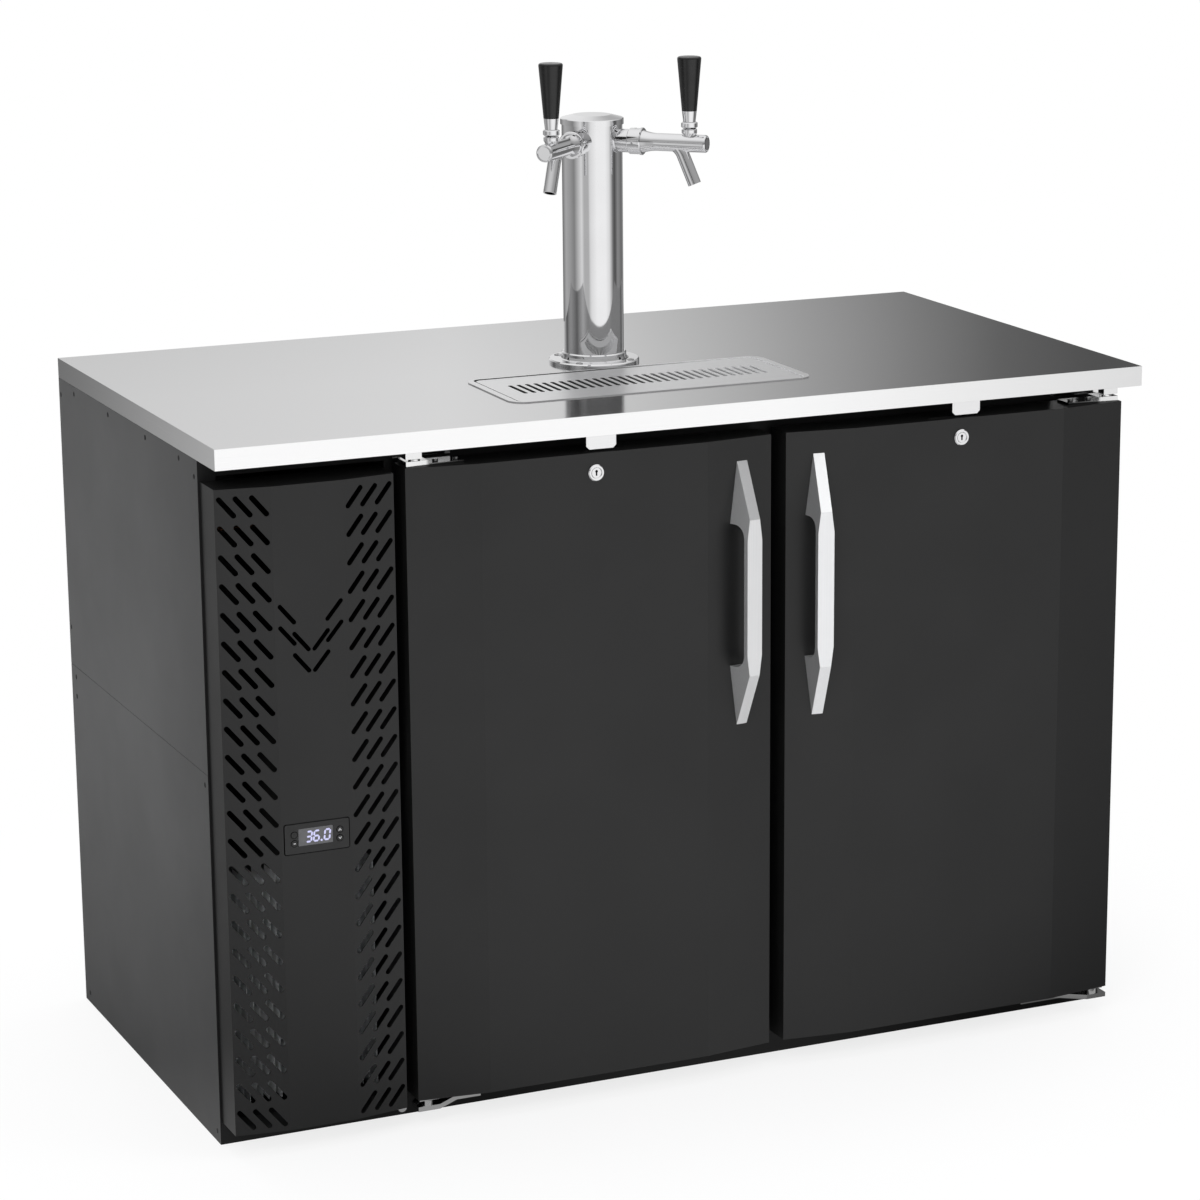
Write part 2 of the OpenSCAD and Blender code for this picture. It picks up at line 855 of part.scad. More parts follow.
// Turned faucet with a curved spout, a cup-shaped bonnet for the lever and a bored valve way
module faucet_body() {
  difference() {
    union() {
      rotate_extrude()
        polygon(barrel_outline());
      spout(spout_d / 2, 0);
      translate([0, pivot_h, lever_at])
        rotate([-90, 0, 0])
          rotate_extrude()
            polygon([
              [0, -bonnet_sink], [bonnet_waist, -bonnet_sink], [bonnet_waist, -bonnet_dip],
              [bonnet_d / 2, bonnet_flare], [bonnet_d / 2, bonnet_h - bonnet_edge],
              [bonnet_d / 2 - bonnet_edge, bonnet_h], [0, bonnet_h]
            ]);
    }
    spout(spout_bore / 2, over);
    translate([0, 0, shank_end])
      cylinder(r = chamber_r + 2, h = seat_l - shank_end);
    translate([0, 0, seat_l - over])
      cylinder(r = chamber_r, h = chamber_end - seat_l + over);
    translate([0, 0, chamber_end - over])
      cylinder(r = shaft_r + run_clear, h = faucet_end - chamber_end - 5);
    translate([0, pivot_h, lever_at])
      rotate([0, 90, 0]) {
        sphere(ball_r + gap);
        cylinder(r = pivot_r + run_clear, h = 2 * (pivot_reach + gap), center = true);
      }
    lever_sweep(lever_r + gap, bonnet_d, 0.1);
    lever_sweep(arm_r + gap, 0.1, pivot_h + arm_r + gap);
  }
}

// Spout as a bent tube: an elbow out of the barrel, then a straight run
module spout(r, extra) {
  translate([0, bend_h, bend_l])
    rotate([90 - spout_slope, 0, 0]) {
      cylinder(r = r, h = spout_len + extra);
      translate([0, -spout_bend, 0])
        rotate([0, -90, 0])
          rotate([0, 0, 90])
            rotate_extrude(angle = spout_turn)
              translate([spout_bend, 0])
                circle(r);
    }
}

module faucet_body_left() {
  color("#d5d7d9")
    at_faucet(-1)
      faucet_body();
}

module faucet_body_right() {
  color("#d5d7d9")
    at_faucet(1)
      faucet_body();
}

// Puts a lever piece upright at its pivot
module at_lever(side) {
  at_faucet(side)
    translate([0, pivot_h, lever_at])
      rotate([-90, 0, 0])
        children();
}

collar_z = bonnet_h + 1;
cup_h = lever_collar_h * 2 / 3;
cup_r = lever_collar_d / 2 - 1.7;
ferrule_z = collar_z + lever_collar_h;
knob_z = ferrule_z + ferrule_h;

// Lever turned in one piece: arm, ball on its cross pin, stem, collar and tapered ferrule
module tap_lever(side) {
  color("#d5d7d9")
    at_lever(side) {
      rotate([0, 90, 0]) {
        sphere(ball_r);
        cylinder(r = pivot_r, h = 2 * pivot_reach, center = true);
      }
      translate([0, 0, -pivot_h])
        cylinder(r = arm_r, h = pivot_h);
      translate([0, 0, -pivot_h])
        sphere(arm_r);
      rotate_extrude()
        polygon([
          [0, 0], [lever_r, 0], [lever_r, collar_z + cup_h], [cup_r, collar_z],
          [lever_collar_d / 2 - 1, collar_z], [lever_collar_d / 2, collar_z + 1],
          [lever_collar_d / 2, ferrule_z - 1],
          [lever_collar_d / 2 - 1, ferrule_z], [knob_d0 / 2 - 1.8, ferrule_z],
          [knob_d0 / 2 - 0.2, knob_z - fit], [0, knob_z - fit]
        ]);
    }
}

module tap_lever_left() {
  tap_lever(-1);
}

module tap_lever_right() {
  tap_lever(1);
}

// Tapered black knob with a rounded crown
module tap_knob(side) {
  crown = 2.5;
  crown_n = 5;
  top_r = knob_d1 / 2 - crown;
  color("#161616")
    at_lever(side)
      translate([0, 0, knob_z])
        rotate_extrude()
          polygon(concat(
            [[0, 0], [knob_d0 / 2, 0], [knob_d0 / 2, 0.8]],
            [for (i = [0 : crown_n])
              [top_r + crown * cos(i * 90 / crown_n),
              knob_h - crown - 0.8 + crown * sin(i * 90 / crown_n)]],
            [[0, knob_h]]
          ));
}

module tap_knob_left() {
  tap_knob(-1);
}

module tap_knob_right() {
  tap_knob(1);
}

// Valve shaft with its head at the seat, notched for the lever's arm: wide above its axis, where
// the arm leans, and close round the arm's tip below
module valve_shaft(side) {
  head_r = chamber_r + 1.2;
  head_l = 4;
  notch = arm_r + 2 * gap;
  lean = (pivot_h - shaft_r) * tan(lever_pull) + arm_r / cos(lever_pull);
  travel = pivot_h * lever_pull * PI / 180;
  wide = travel - lean + 2 * arm_r / cos(lever_pull) + 2 * gap;
  slot = arm_r + gap;
  color("#c9c9c4")
    at_faucet(side)
      difference() {
        union() {
          translate([0, 0, seat_l - gap - head_l])
            cylinder(r = head_r, h = head_l);
          translate([0, 0, seat_l - head_l])
            cylinder(r = shaft_r, h = faucet_end - 7 - seat_l + head_l);
        }
        block([-slot, -slot, lever_at - notch], [slot, shaft_r + over, lever_at + notch]);
        block([-slot, 0, lever_at - notch], [slot, shaft_r + over, lever_at + max(notch, wide)]);
      }
}

module valve_shaft_left() {
  valve_shaft(-1);
}

module valve_shaft_right() {
  valve_shaft(1);
}

// Grille and controller

grille_height = grille_z1 - grille_z0;
slot_rows = floor((grille_height - 40) / slot_rise) + 1;
slot_z0 = (grille_z0 + grille_z1) / 2 - slot_low - (slot_rows - 1) * slot_rise / 2;
chevron_drop = 25.5;
chevron_places = [[12, 0], [28.8, slot_rise]];
cut_deep = 3;
ctrl_body_w = ctrl_w - 10;
ctrl_body_h = ctrl_h - 8;
ctrl_r = 2;
ctrl_ledge = 3;
ctrl_front = grille_face - ctrl_proud;
ctrl_back = ctrl_front + ctrl_t;

// Drawing of one facet's slots, measured from the panel's outer edge
module facet_slots() {
  for (row = [0 : slot_rows - 1])
    for (column = [0 : slot_columns - 1])
      translate([slot_edge + column * slot_step, slot_z0 + row * slot_rise])
        rotate(-slot_angle)
          slot_shape(slot_len, slot_w);
}

// Drawing of half of the two chevrons, measured from the panel's middle
module chevron_slots() {
  for (drop = [0, chevron_drop])
    for (p = chevron_places)
      translate([-p[0], chevron_z + p[1] - drop])
        rotate(-slot_angle)
          slot_shape(chevron_len, chevron_w);
}

// Faceted vent panel over the machine bay
module grille_panel() {
  color("#232427")
    difference() {
      translate([grille_x0, 0, 0])
        facet_pan(grille_w, grille_z0, grille_z1, grille_edge, grille_facet_w, grille_facet_d,
             y_cab - fit);
      for (side = [0, 1])
        translate([grille_xc, 0, 0])
          mirror([side, 0, 0]) {
            translate([-grille_w / 2, grille_edge, 0])
              rotate([0, 0, -grille_slope])
                upright(-cut_deep, cut_deep)
                  facet_slots();
            upright(grille_face - cut_deep, grille_face + cut_deep)
              chevron_slots();
          }
      translate([grille_xc, 0, ctrl_z])
        upright(grille_face - cut_deep, grille_face + cut_deep)
          rounded_rect(ctrl_w + 2 * ctrl_gap, ctrl_h + 2 * ctrl_gap, ctrl_r + ctrl_gap);
    }
}

// Places of the four buttons as signs of their sideways and height offsets
button_places = [[-1, 1], [-1, -1], [1, 1], [1, -1]];
button_proud = 0.5;
button_gap = 0.7;
pocket_d = 3;
button_in = pocket_d - button_travel - 0.4;
screen_sink = 1.2;
screen_r = 1.2;

module at_controller() {
  translate([grille_xc, 0, ctrl_z])
    children();
}

// Frame and body of the temperature controller, let into the grille and held by its ledges behind
// the sheet
module controller_bezel() {
  color("#141416")
    at_controller()
      difference() {
        union() {
          upright(ctrl_front, ctrl_back)
            rounded_rect(ctrl_w, ctrl_h, ctrl_r);
          upright(grille_face + sheet + eps, ctrl_back)
            square([ctrl_w - 2 * ctrl_r, ctrl_h + 2 * (ctrl_gap + ctrl_ledge)], center = true);
          upright(ctrl_back - over, grille_face + ctrl_d)
            square([ctrl_body_w, ctrl_body_h], center = true);
        }
        translate([screen_x, 0, screen_z])
          upright(ctrl_front - over, ctrl_front + screen_sink + 1)
            rounded_rect(screen_w + 2 * fit, screen_h + 2 * fit, screen_r);
        for (p = button_places)
          translate([p[0] * button_x, 0, p[1] * button_z])
            upright(ctrl_front - over, ctrl_front + pocket_d)
              circle(d = button_d + 2 * button_gap);
      }
}

module controller_screen() {
  color("#0b0c10")
    at_controller()
      translate([screen_x, 0, screen_z])
        upright(ctrl_front + fit, ctrl_front + screen_sink + 1 - fit)
          rounded_rect(screen_w, screen_h, screen_r - fit);
}

module button(index) {
  p = button_places[index];
  color("#202124")
    at_controller()
      translate([p[0] * button_x, 0, p[1] * button_z])
        upright(ctrl_front - button_proud, ctrl_front + button_in)
          circle(d = button_d);
}

module button_power() {
  button(0);
}

module button_set() {
  button(1);
}

module button_up() {
  button(2);
}

module button_down() {
  button(3);
}

// Doors

lock_x = door_w / 2;
lock_in = 11;
cam_t = 2.5;
cam_y = door_face + lock_in + gap;
pocket_y0 = cam_y - 2 * gap;
pocket_y1 = cam_y + cam_t + 2;
cam_clear = 2;

// Slot in a door's top edge through which the lock's cam rises
module cam_slot(z0, z1) {
  block([lock_x - cam_w / 2 - cam_clear, pocket_y0, z0], [lock_x + cam_len, pocket_y1, z1]);
}

module door_skin(side) {
  color("#27282b")
    at_door(side)
      difference() {
        facet_pan(door_w, door_z0, door_z1, door_edge, facet_w, facet_d, door_back);
        translate([lock_x, 0, lock_z])
          upright(door_face - over, door_face + sheet + over)
            circle(d = lock_d + 2 * fit);
        cam_slot(door_z1 - sheet - over, door_z1 + over);
      }
}

module door_skin_left() {
  door_skin(-1);
}

module door_skin_right() {
  door_skin(1);
}

// Foam core with its inner sheet, a raised panel inside the gasket and the lock's pocket
module door_core(side) {
  wall = sheet + fit;
  plug_hinge = open_hinge + 6;
  plug_free = open_free + 6;
  color("#b8babc")
    at_door(side)
      difference() {
        union() {
          translate([0, 0, door_z0 + wall])
            linear_extrude(door_z1 - door_z0 - 2 * wall)
              polygon(facet_plan(door_w, door_edge, facet_w, facet_d, door_back, wall));
          translate([(plug_hinge + door_w - plug_free) / 2, 0, (door_z0 + door_z1) / 2])
            upright(door_back - over, door_back + door_plug_h)
              rounded_rect(door_w - plug_hinge - plug_free,
                    door_z1 - door_z0 - 2 * plug_free, 20);
        }
        translate([lock_x, 0, lock_z])
          upright(door_face, pocket_y1)
            circle(d = lock_d + 2 * fit);
        cam_slot(lock_z - cam_w / 2 - cam_clear, door_z1);
      }
}

module door_core_left() {
  door_core(-1);
}

module door_core_right() {
  door_core(1);
}

// Ring of one gasket layer: inset from the gasket's band on both sides
module gasket_layer(inset, y0, y1) {
  w0 = gasket_hinge_inset + inset;
  w1 = door_w - gasket_inset - inset;
  z0 = door_z0 + gasket_inset + inset;
  z1 = door_z1 - gasket_inset - inset;
  band = gasket_w - 2 * inset;
  difference() {
    block([w0, y0, z0], [w1, y1, z1]);
    block([w0 + band, y0 - over, z0 + band], [w1 - band, y1 + over, z1 - band]);
  }
}

// Bellows gasket: a foot, a narrow fold and a magnet strip
module door_gasket(side) {
  foot_t = 3;
  strip_t = 3;
  face = y_cab - gap;
  color("#101010")
    at_door(side) {
      gasket_layer(0, door_back, door_back + foot_t);
      gasket_layer(3, door_back + foot_t, face - strip_t);
      gasket_layer(1, face - strip_t, face);
    }
}

module door_gasket_left() {
  door_gasket(-1);
}

module door_gasket_right() {
  door_gasket(1);
}

// Outline of a handle at the door and at its front face
function handle_base() = [
  for (s = [[-1, -1], [1, -1], [1, 1], [-1, 1]])
    each (s[0] * s[1] > 0
      ? [[s[0] * foot_w / 2, s[1] * finger_gap / 2], [s[0] * handle_tip_w / 2, s[1] * handle_len / 2]]
      : [[s[0] * handle_tip_w / 2, s[1] * handle_len / 2], [s[0] * foot_w / 2, s[1] * finger_gap / 2]])
];
function handle_front(flat) = [
  for (s = [[-1, -1], [1, -1], [1, 1], [-1, 1]])
    each (s[0] * s[1] > 0
      ? [[s[0] * grip_w / 2, s[1] * flat / 2], [s[0] * handle_tip_w / 2, s[1] * handle_ridge / 2]]
      : [[s[0] * handle_tip_w / 2, s[1] * handle_ridge / 2], [s[0] * grip_w / 2, s[1] * flat / 2]])
];

// Faceted pull: a tapered block between two outlines with a round-ended finger gap cut through
module door_handle(side) {
  flat = finger_gap - 2 * finger_r;
  reach = handle_h - grip_t;
  thin = 0.5;
  seat_x = door_w - handle_inset;
  seat_y = door_face + facet_d * (facet_w - handle_inset) / facet_w;
  color("#b4b6b8")
    at_door(side)
      translate([seat_x, seat_y, handle_z])
        rotate([0, 0, door_slope])
          difference() {
            hull() {
              upright(-thin - eps, -eps)
                polygon(handle_base());
              upright(-handle_h, thin - handle_h)
                polygon(handle_front(flat));
            }
            block([-foot_w, -reach + finger_r, -finger_gap / 2], [foot_w, over, finger_gap / 2]);
            block([-foot_w, -reach, -flat / 2], [foot_w, over, flat / 2]);
            for (s = [-1, 1])
              translate([0, -reach + finger_r, s * flat / 2])
                rotate([0, 90, 0])
                  cylinder(r = finger_r, h = 2 * foot_w, center = true);
          }
}

module door_handle_left() {
  door_handle(-1);
}

module door_handle_right() {
  door_handle(1);
}

// Lock housing: a rounded ring on the door's face and a barrel through the skin
module lock_barrel(side) {
  color("#d9dadc")
    at_door(side)
      translate([lock_x, door_face, lock_z])
        rotate([90, 0, 0])
          rotate_extrude()
            polygon([
              [plug_d / 2 + run_clear, -lock_in], [lock_d / 2, -lock_in], [lock_d / 2, eps],
              [lock_ring_d / 2, eps], [lock_ring_d / 2, lock_ring_h - 1.2],
              [lock_ring_d / 2 - 1.2, lock_ring_h], [plug_d / 2 + 1, lock_ring_h],
              [plug_d / 2 + run_clear, lock_ring_h - 0.8]
            ]);
}

module lock_barrel_left() {
  lock_barrel(-1);
}

module lock_barrel_right() {
  lock_barrel(1);
}

// Turning plug with its keyway, and the cam that swings up behind the strike tab
module lock_plug(side) {
  key_w = 2;
  key_h = 7;
  key_d = 3.4;
  key_deep = 6;
  front = lock_ring_h - 1;
  color("#d2d4d6")
    at_door(side)
      translate([lock_x, 0, lock_z]) {
        upright(door_face - front, cam_y)
          difference() {
            circle(d = plug_d);
            square([key_w, key_h], center = true);
            translate([0, (key_h - key_d) / 2])
              circle(d = key_d);
          }
        upright(door_face - front + key_deep, cam_y)
          circle(d = key_h + 2 * eps);
        upright(cam_y, cam_y + cam_t) {
          circle(d = cam_w);
          translate([0, -cam_w / 2])
            square([cam_len - cam_w / 2, cam_w]);
          translate([cam_len - cam_w / 2, 0])
            circle(d = cam_w);
        }
      }
}

module lock_plug_left() {
  lock_plug(-1);
}

module lock_plug_right() {
  lock_plug(1);
}

// Hinges

knuckle_d = pin_d + 6;
leaf_boss_h = 8.5;
leaf_back = 20;
leaf_front = 8;
leaf_side = 3;
leaf_block = 28;
leaf_block_h = 6.5;
roller_d = 7;
bracket_lug_h = 9;
bracket_front = 12;
low_plate_h = 14.5;
low_plate_z = door_z0 - low_plate_h;
low_plate_t = 6;
low_boss_h = 10.5;
low_arm = 100;

// Plates on a door's top and bottom edges: the upper one is bored, the lower one has the pin
module hinge_leaves(side) {
  color("#c3c5c7")
    at_door(side) {
      difference() {
        union() {
          block([leaf_side, pin_y - leaf_front, door_z1],
             [hinge_len, pin_y + leaf_back, door_z1 + hinge_t]);
          block([leaf_side, pin_y - leaf_front, door_z1],
             [leaf_side + leaf_block, pin_y + leaf_back, door_z1 + leaf_block_h]);
          translate([pin_inset, pin_y, door_z1])
            cylinder(d = knuckle_d, h = leaf_boss_h);
          for (x = [leaf_block + 2 * roller_d, hinge_len - roller_d])
            translate([x, pin_y, door_z1])
              cylinder(d = roller_d, h = leaf_block_h);
        }
        translate([pin_inset, pin_y, door_z1 - over])
          cylinder(r = pin_d / 2 + run_clear, h = leaf_boss_h + 2 * over);
      }
      block([leaf_side, pin_y - leaf_front, door_z0 - hinge_t],
         [hinge_len, pin_y + leaf_back, door_z0]);
      translate([pin_inset, pin_y, low_plate_z + over])
        cylinder(d = pin_d, h = low_plate_h - hinge_t - over);
    }
}

module hinge_leaves_left() {
  hinge_leaves(-1);
}

module hinge_leaves_right() {
  hinge_leaves(1);
}

// Upper arms under the worktop, each with its square lug and pin
module hinge_brackets_top() {
  flange_y = 2.5;
  flange_z = 15;
  color("#c3c5c7")
    for (side = [-1, 1])
      at_door(side) {
        translate([0, 0, z_under - hinge_t - eps])
          linear_extrude(hinge_t)
            polygon([
              [leaf_side, y_cab - eps], [leaf_side, pin_y - bracket_front],
              [pin_inset + bracket_front, pin_y - bracket_front],
              [hinge_len, pin_y + leaf_front], [hinge_len, y_cab - eps]
            ]);
        block([leaf_side, y_cab - flange_y, z_under - hinge_t - flange_z],
           [hinge_len, y_cab - eps, z_under - hinge_t]);
        block([leaf_side, pin_y - knuckle_d / 2, z_under - hinge_t - bracket_lug_h],
           [pin_inset + knuckle_d / 2, pin_y + knuckle_d / 2, z_under - hinge_t]);
        translate([pin_inset, pin_y, door_z1 + over])
          cylinder(d = pin_d, h = z_under - hinge_t - door_z1 - over);
      }
}

// Lower brackets on the base's front: a bored boss on a plate that tapers along the base
module hinge_brackets_bottom() {
  arm_t = 2.5;
  arm_h = 12;
  color("#bcbec0")
    for (side = [-1, 1])
      at_door(side)
        difference() {
          union() {
            translate([0, 0, low_plate_z])
              linear_extrude(low_plate_t)
                polygon([
                  [0, pin_y - bracket_front], [pin_inset + bracket_front, pin_y - bracket_front],
                  [low_arm, y_cab - arm_t], [low_arm, y_cab - eps],
                  [pin_inset + bracket_front, y_cab - eps], [0, pin_y + bracket_front]
                ]);
            block([pin_inset + bracket_front, y_cab - arm_t, low_plate_z - arm_h],
               [low_arm, y_cab - eps, low_plate_z]);
            translate([pin_inset, pin_y, low_plate_z])
              cylinder(d = knuckle_d, h = low_boss_h);
          }
          translate([pin_inset, pin_y, low_plate_z - over])
            cylinder(r = pin_d / 2 + run_clear, h = low_boss_h + 2 * over);
        }
}

// Bright tabs under the worktop that the locks' cams catch
module strike_tabs() {
  tab_t = 1.5;
  tab_y = y_front + 12;
  tab_z0 = door_z1 + 2.6;
  chamfer = 4;
  color("#dcdddf")
    for (side = [-1, 1])
      translate([(side < 0 ? left_x : right_x - door_w) + door_w / 2 + tab_shift, 0, 0]) {
        upright(tab_y - tab_t / 2, tab_y + tab_t / 2)
          polygon([
            [-tab_w / 2, z_under - eps], [-tab_w / 2, tab_z0 + chamfer],
            [chamfer - tab_w / 2, tab_z0], [tab_w / 2 - chamfer, tab_z0],
            [tab_w / 2, tab_z0 + chamfer], [tab_w / 2, z_under - eps]
          ]);
        block([-tab_w / 2, tab_y, z_under - tab_t - eps], [tab_w / 2, tab_y + 14, z_under - eps]);
      }
}

// Screws of the tower flange and of the left side panels, and the grille's bottom lug
module screws() {
  head_d = 9;
  cross_l = 5;
  cross_w = 1.2;
  lug_r = 5.5;
  color("#a9abad") {
    at_flange_screws() {
      translate([0, 0, top_h + flange_t + eps])
        difference() {
          cylinder(d = head_d, h = flange_screw_h);
          for (a = [0, 90])
            rotate([0, 0, a])
              translate([-cross_l / 2, -cross_w / 2, flange_screw_h - cross_w])
                cube([cross_l, cross_w, 2 * cross_w]);
        }
      translate([0, 0, top_h - flange_screw_l + fit])
        cylinder(d = flange_screw_d, h = flange_screw_l + flange_t);
    }
    for (p = concat(upper_screws, lower_screws))
      translate([x_left + fit, p[0], p[1]])
        rotate([0, 90, 0])
          cylinder(d = screw_d, h = sheet - fit);
    translate([grille_x1 - lug_r, 0, grille_z0 - eps])
      upright(grille_edge + 2, grille_edge + 5)
        difference() {
          circle(lug_r);
          translate([0, lug_r])
            square(2 * lug_r, center = true);
        }
  }
}

// Refrigeration machine

module compressor() {
  shell_r = comp_d / 2;
  round_r = 40;
  round_n = 6;
  plate_t = 3;
  plate_w = comp_d + 40;
  z0 = base_h + mount_h + fit;
  color("#141517")
    translate([bay_xc, comp_y, z0])
      difference() {
        union() {
          linear_extrude(plate_t)
            rounded_rect(plate_w, comp_d, 16);
          rotate_extrude()
            polygon(concat(
              [[0, 0], [shell_r - 12, 0], [shell_r, 20], [shell_r, comp_h - round_r]],
              [for (i = [1 : round_n])
                [shell_r - round_r + round_r * cos(i * 90 / round_n),
                comp_h - round_r + round_r * sin(i * 90 / round_n)]],
              [[0, comp_h]]
            ));
          translate([0, 0, comp_h / 2])
            rotate_extrude()
              translate([shell_r - 2, -2])
                square([5, 4]);
        }
        at_mounts()
          translate([0, 0, -over])
            cylinder(d = mount_bolt + 2 * fit, h = plate_t + 2 * over);
      }
}

mount_bolt = 6;

module at_mounts() {
  for (sx = [-1, 1])
    for (sy = [-1, 1])
      translate([sx * (comp_d / 2 + 6), sy * (comp_d / 2 - 14), 0])
        children();
}

// Rubber mounts with their bolts through the compressor's foot plate
module compressor_mounts() {
  color("#1b1b1b")
    translate([bay_xc, comp_y, base_h])
      at_mounts() {
        cylinder(d = 22, h = mount_h);
        cylinder(d = mount_bolt, h = mount_h + 6);
      }
}

// Finned coil between two side plates
module condenser() {
  plate_t = 1.5;
  fin_t = 0.8;
  tube_r = 4;
  tube_rows = 8;
  z0 = base_h + fit;
  step = (cond_w - 2 * plate_t) / (cond_fins + 1);
  color("#8d9194")
    translate([bay_xc - cond_w / 2, y_cab + cond_y, z0]) {
      for (x = [0, cond_w - plate_t])
        block([x, 0, 0], [x + plate_t, cond_d, cond_h]);
      for (i = [1 : cond_fins])
        block([i * step, 2, 12], [i * step + fin_t, cond_d - 2, cond_h - 4]);
      for (i = [0 : tube_rows - 1])
        translate([plate_t / 2, cond_d / 2, 28 + i * (cond_h - 44) / (tube_rows - 1)])
          rotate([0, 90, 0])
            cylinder(r = tube_r, h = cond_w - plate_t);
    }
}

// Shroud behind the condenser: a frame with a round fan ring
module fan_shroud() {
  plate_t = 1.5;
  ring_l = 26;
  y0 = y_cab + cond_y + cond_d + fit;
  ring_r = fan_d / 2 + 4;
  color("#1b1c1e")
    difference() {
      union() {
        translate([bay_xc, 0, base_h + fit + cond_h / 2])
          upright(y0, y0 + plate_t)
            square([cond_w, cond_h], center = true);
        translate([bay_xc, 0, fan_z])
          upright(y0, y0 + ring_l + plate_t + 16)
            circle(ring_r + plate_t);
      }
      translate([bay_xc, 0, fan_z])
        upright(y0 - over, y0 + ring_l + 20)
          circle(ring_r);
    }
}

// Pitched flat blades on a hub, trimmed to a round tip, turning about local Z
module fan_wheel(d, hub_d, hub_h, blades, bore) {
  blade_t = 1.6;
  pitch = 32;
  difference() {
    union() {
      cylinder(d = hub_d, h = hub_h, center = true);
      intersection() {
        cylinder(d = d, h = 4 * hub_h, center = true);
        for (i = [0 : blades - 1])
          rotate([0, 0, i * 360 / blades])
            rotate([pitch, 0, 0])
              translate([hub_d / 2 - 3, -hub_h * 0.7, -blade_t / 2])
                cube([d / 2, hub_h * 1.4, blade_t]);
      }
    }
    cylinder(r = bore, h = hub_h + 2 * over, center = true);
  }
}

fan_shaft_r = 3;
fan_hub_d = 38;
fan_hub_h = 20;
evap_hub_d = 30;
evap_hub_h = 14;

module condenser_fan() {
  color("#2b2c2e")
    translate([bay_xc, fan_y, fan_z])
      rotate([90, 0, 0])
        fan_wheel(fan_d, fan_hub_d, fan_hub_h, 5, fan_shaft_r + run_clear);
}

// Motor on a pedestal, with the shaft that carries the fan
module condenser_fan_motor() {
  motor_d = 72;
  motor_l = 54;
  y0 = fan_y + fan_hub_h / 2 + 3;
  leg_w = 56;
  leg_t = 3;
  leg_in = 12;
  leg_floor = 8;
  leg_gap = fan_z - base_h - leg_floor - motor_d / 2;
  color("#3c3d40") {
    translate([bay_xc, 0, fan_z]) {
      upright(y0, y0 + motor_l)
        circle(d = motor_d);
      upright(fan_y - fan_hub_h / 2 - 4, y0 + over)
        circle(fan_shaft_r);
    }
    difference() {
      block([bay_xc - leg_w / 2, y0 + leg_in, base_h],
         [bay_xc + leg_w / 2, y0 + motor_l - leg_in, fan_z]);
      translate([bay_xc, 0, base_h + leg_floor])
        block([leg_t - leg_w / 2, y0, 0], [leg_w / 2 - leg_t, y0 + motor_l, leg_gap]);
    }
  }
}

// Bent tube through corner points, with ball corners
module pipe_run(points, r) {
  for (i = [0 : len(points) - 2])
    pipe_leg(points[i], points[i + 1], r);
  for (i = [1 : len(points) - 2])
    translate(points[i])
      sphere(r);
}

// Straight tube between two points that differ along one axis only
module pipe_leg(a, b, r) {
  d = b - a;
  turn = d[0] != 0 ? [0, d[0] > 0 ? 90 : -90, 0]
    : d[1] != 0 ? [d[1] > 0 ? -90 : 90, 0, 0]
    : [d[2] > 0 ? 0 : 180, 0, 0];
  translate(a)
    rotate(turn)
      cylinder(r = r, h = norm(d));
}

// Discharge line, liquid line with its drier and capillary, and suction line
module refrigerant_lines() {
  drier_l = 100;
  drier_r = line_r + 6;
  drier_lift = 32;
  drier_ahead = 135;
  line_x = body_x0 - 12;
  coil_x = bay_xc + cond_w / 2 + fit;
  coil_y = y_cab + cond_y + cond_d / 2;
  shell_x = bay_xc + comp_d / 2;
  high_z = base_h + mount_h + comp_h * 0.3;
  low_z = base_h + drier_lift;
  evap_in = liner_x0 + 3.5 * line_r;
  coil_top = coil_z1 + fit;
  drier_y = comp_y - comp_d / 2 - drier_ahead;
  cap_r = line_r / 2;
  cap_x = line_x - 3 * line_r;
  color("#b5743c") {
    pipe_run([
      [shell_x + fit, comp_y, high_z], [line_x, comp_y, high_z],
      [line_x, coil_y, high_z], [coil_x, coil_y, high_z]
    ], line_r);
    pipe_run([
      [coil_x, coil_y, low_z], [line_x, coil_y, low_z], [line_x, drier_y, low_z]
    ], line_r);
    translate([line_x, 0, low_z])
      upright(drier_y - eps, drier_y + drier_l)
        circle(drier_r);
    pipe_run([
      [line_x, drier_y + drier_l - eps, low_z], [line_x, capillary_y, low_z], [cap_x, capillary_y, low_z],
      [cap_x, capillary_y, line_z], [evap_in, capillary_y, line_z], [evap_in, capillary_y, coil_top]
    ], cap_r);
    pipe_run([
      [evap_in, suction_y, coil_top], [evap_in, suction_y, line_z], [bay_xc, suction_y, line_z],
      [bay_xc, suction_y, high_z], [bay_xc, comp_y + comp_d / 2 + fit, high_z]
    ], line_r);
  }
}

// Finned evaporator coil on the chamber's left wall
module evaporator() {
  plate_t = 1.5;
  fin_t = 0.8;
  fins = 16;
  x0 = liner_x0 + 4;
  x1 = evap_x1 - 14;
  y0 = evap_y0 + 8;
  y1 = evap_y1 - 8;
  z0 = coil_z0;
  z1 = coil_z1;
  rows = 4;
  rise = coil_h / rows;
  step = (y1 - y0 - 2 * plate_t) / (fins + 1);
  color("#b7babd") {
    for (y = [y0, y1 - plate_t])
      block([liner_x0 + fit, y, z0], [x1, y + plate_t, z1]);
    for (i = [1 : fins])
      block([x0, y0 + i * step, z0 + 3], [x1 - 2, y0 + i * step + fin_t, z1]);
    for (i = [0 : rows - 1])
      translate([(x0 + x1) / 2, y0 + plate_t / 2, z0 + (i + 0.5) * rise])
        rotate([-90, 0, 0])
          cylinder(r = line_r, h = y1 - y0 - plate_t);
  }
}

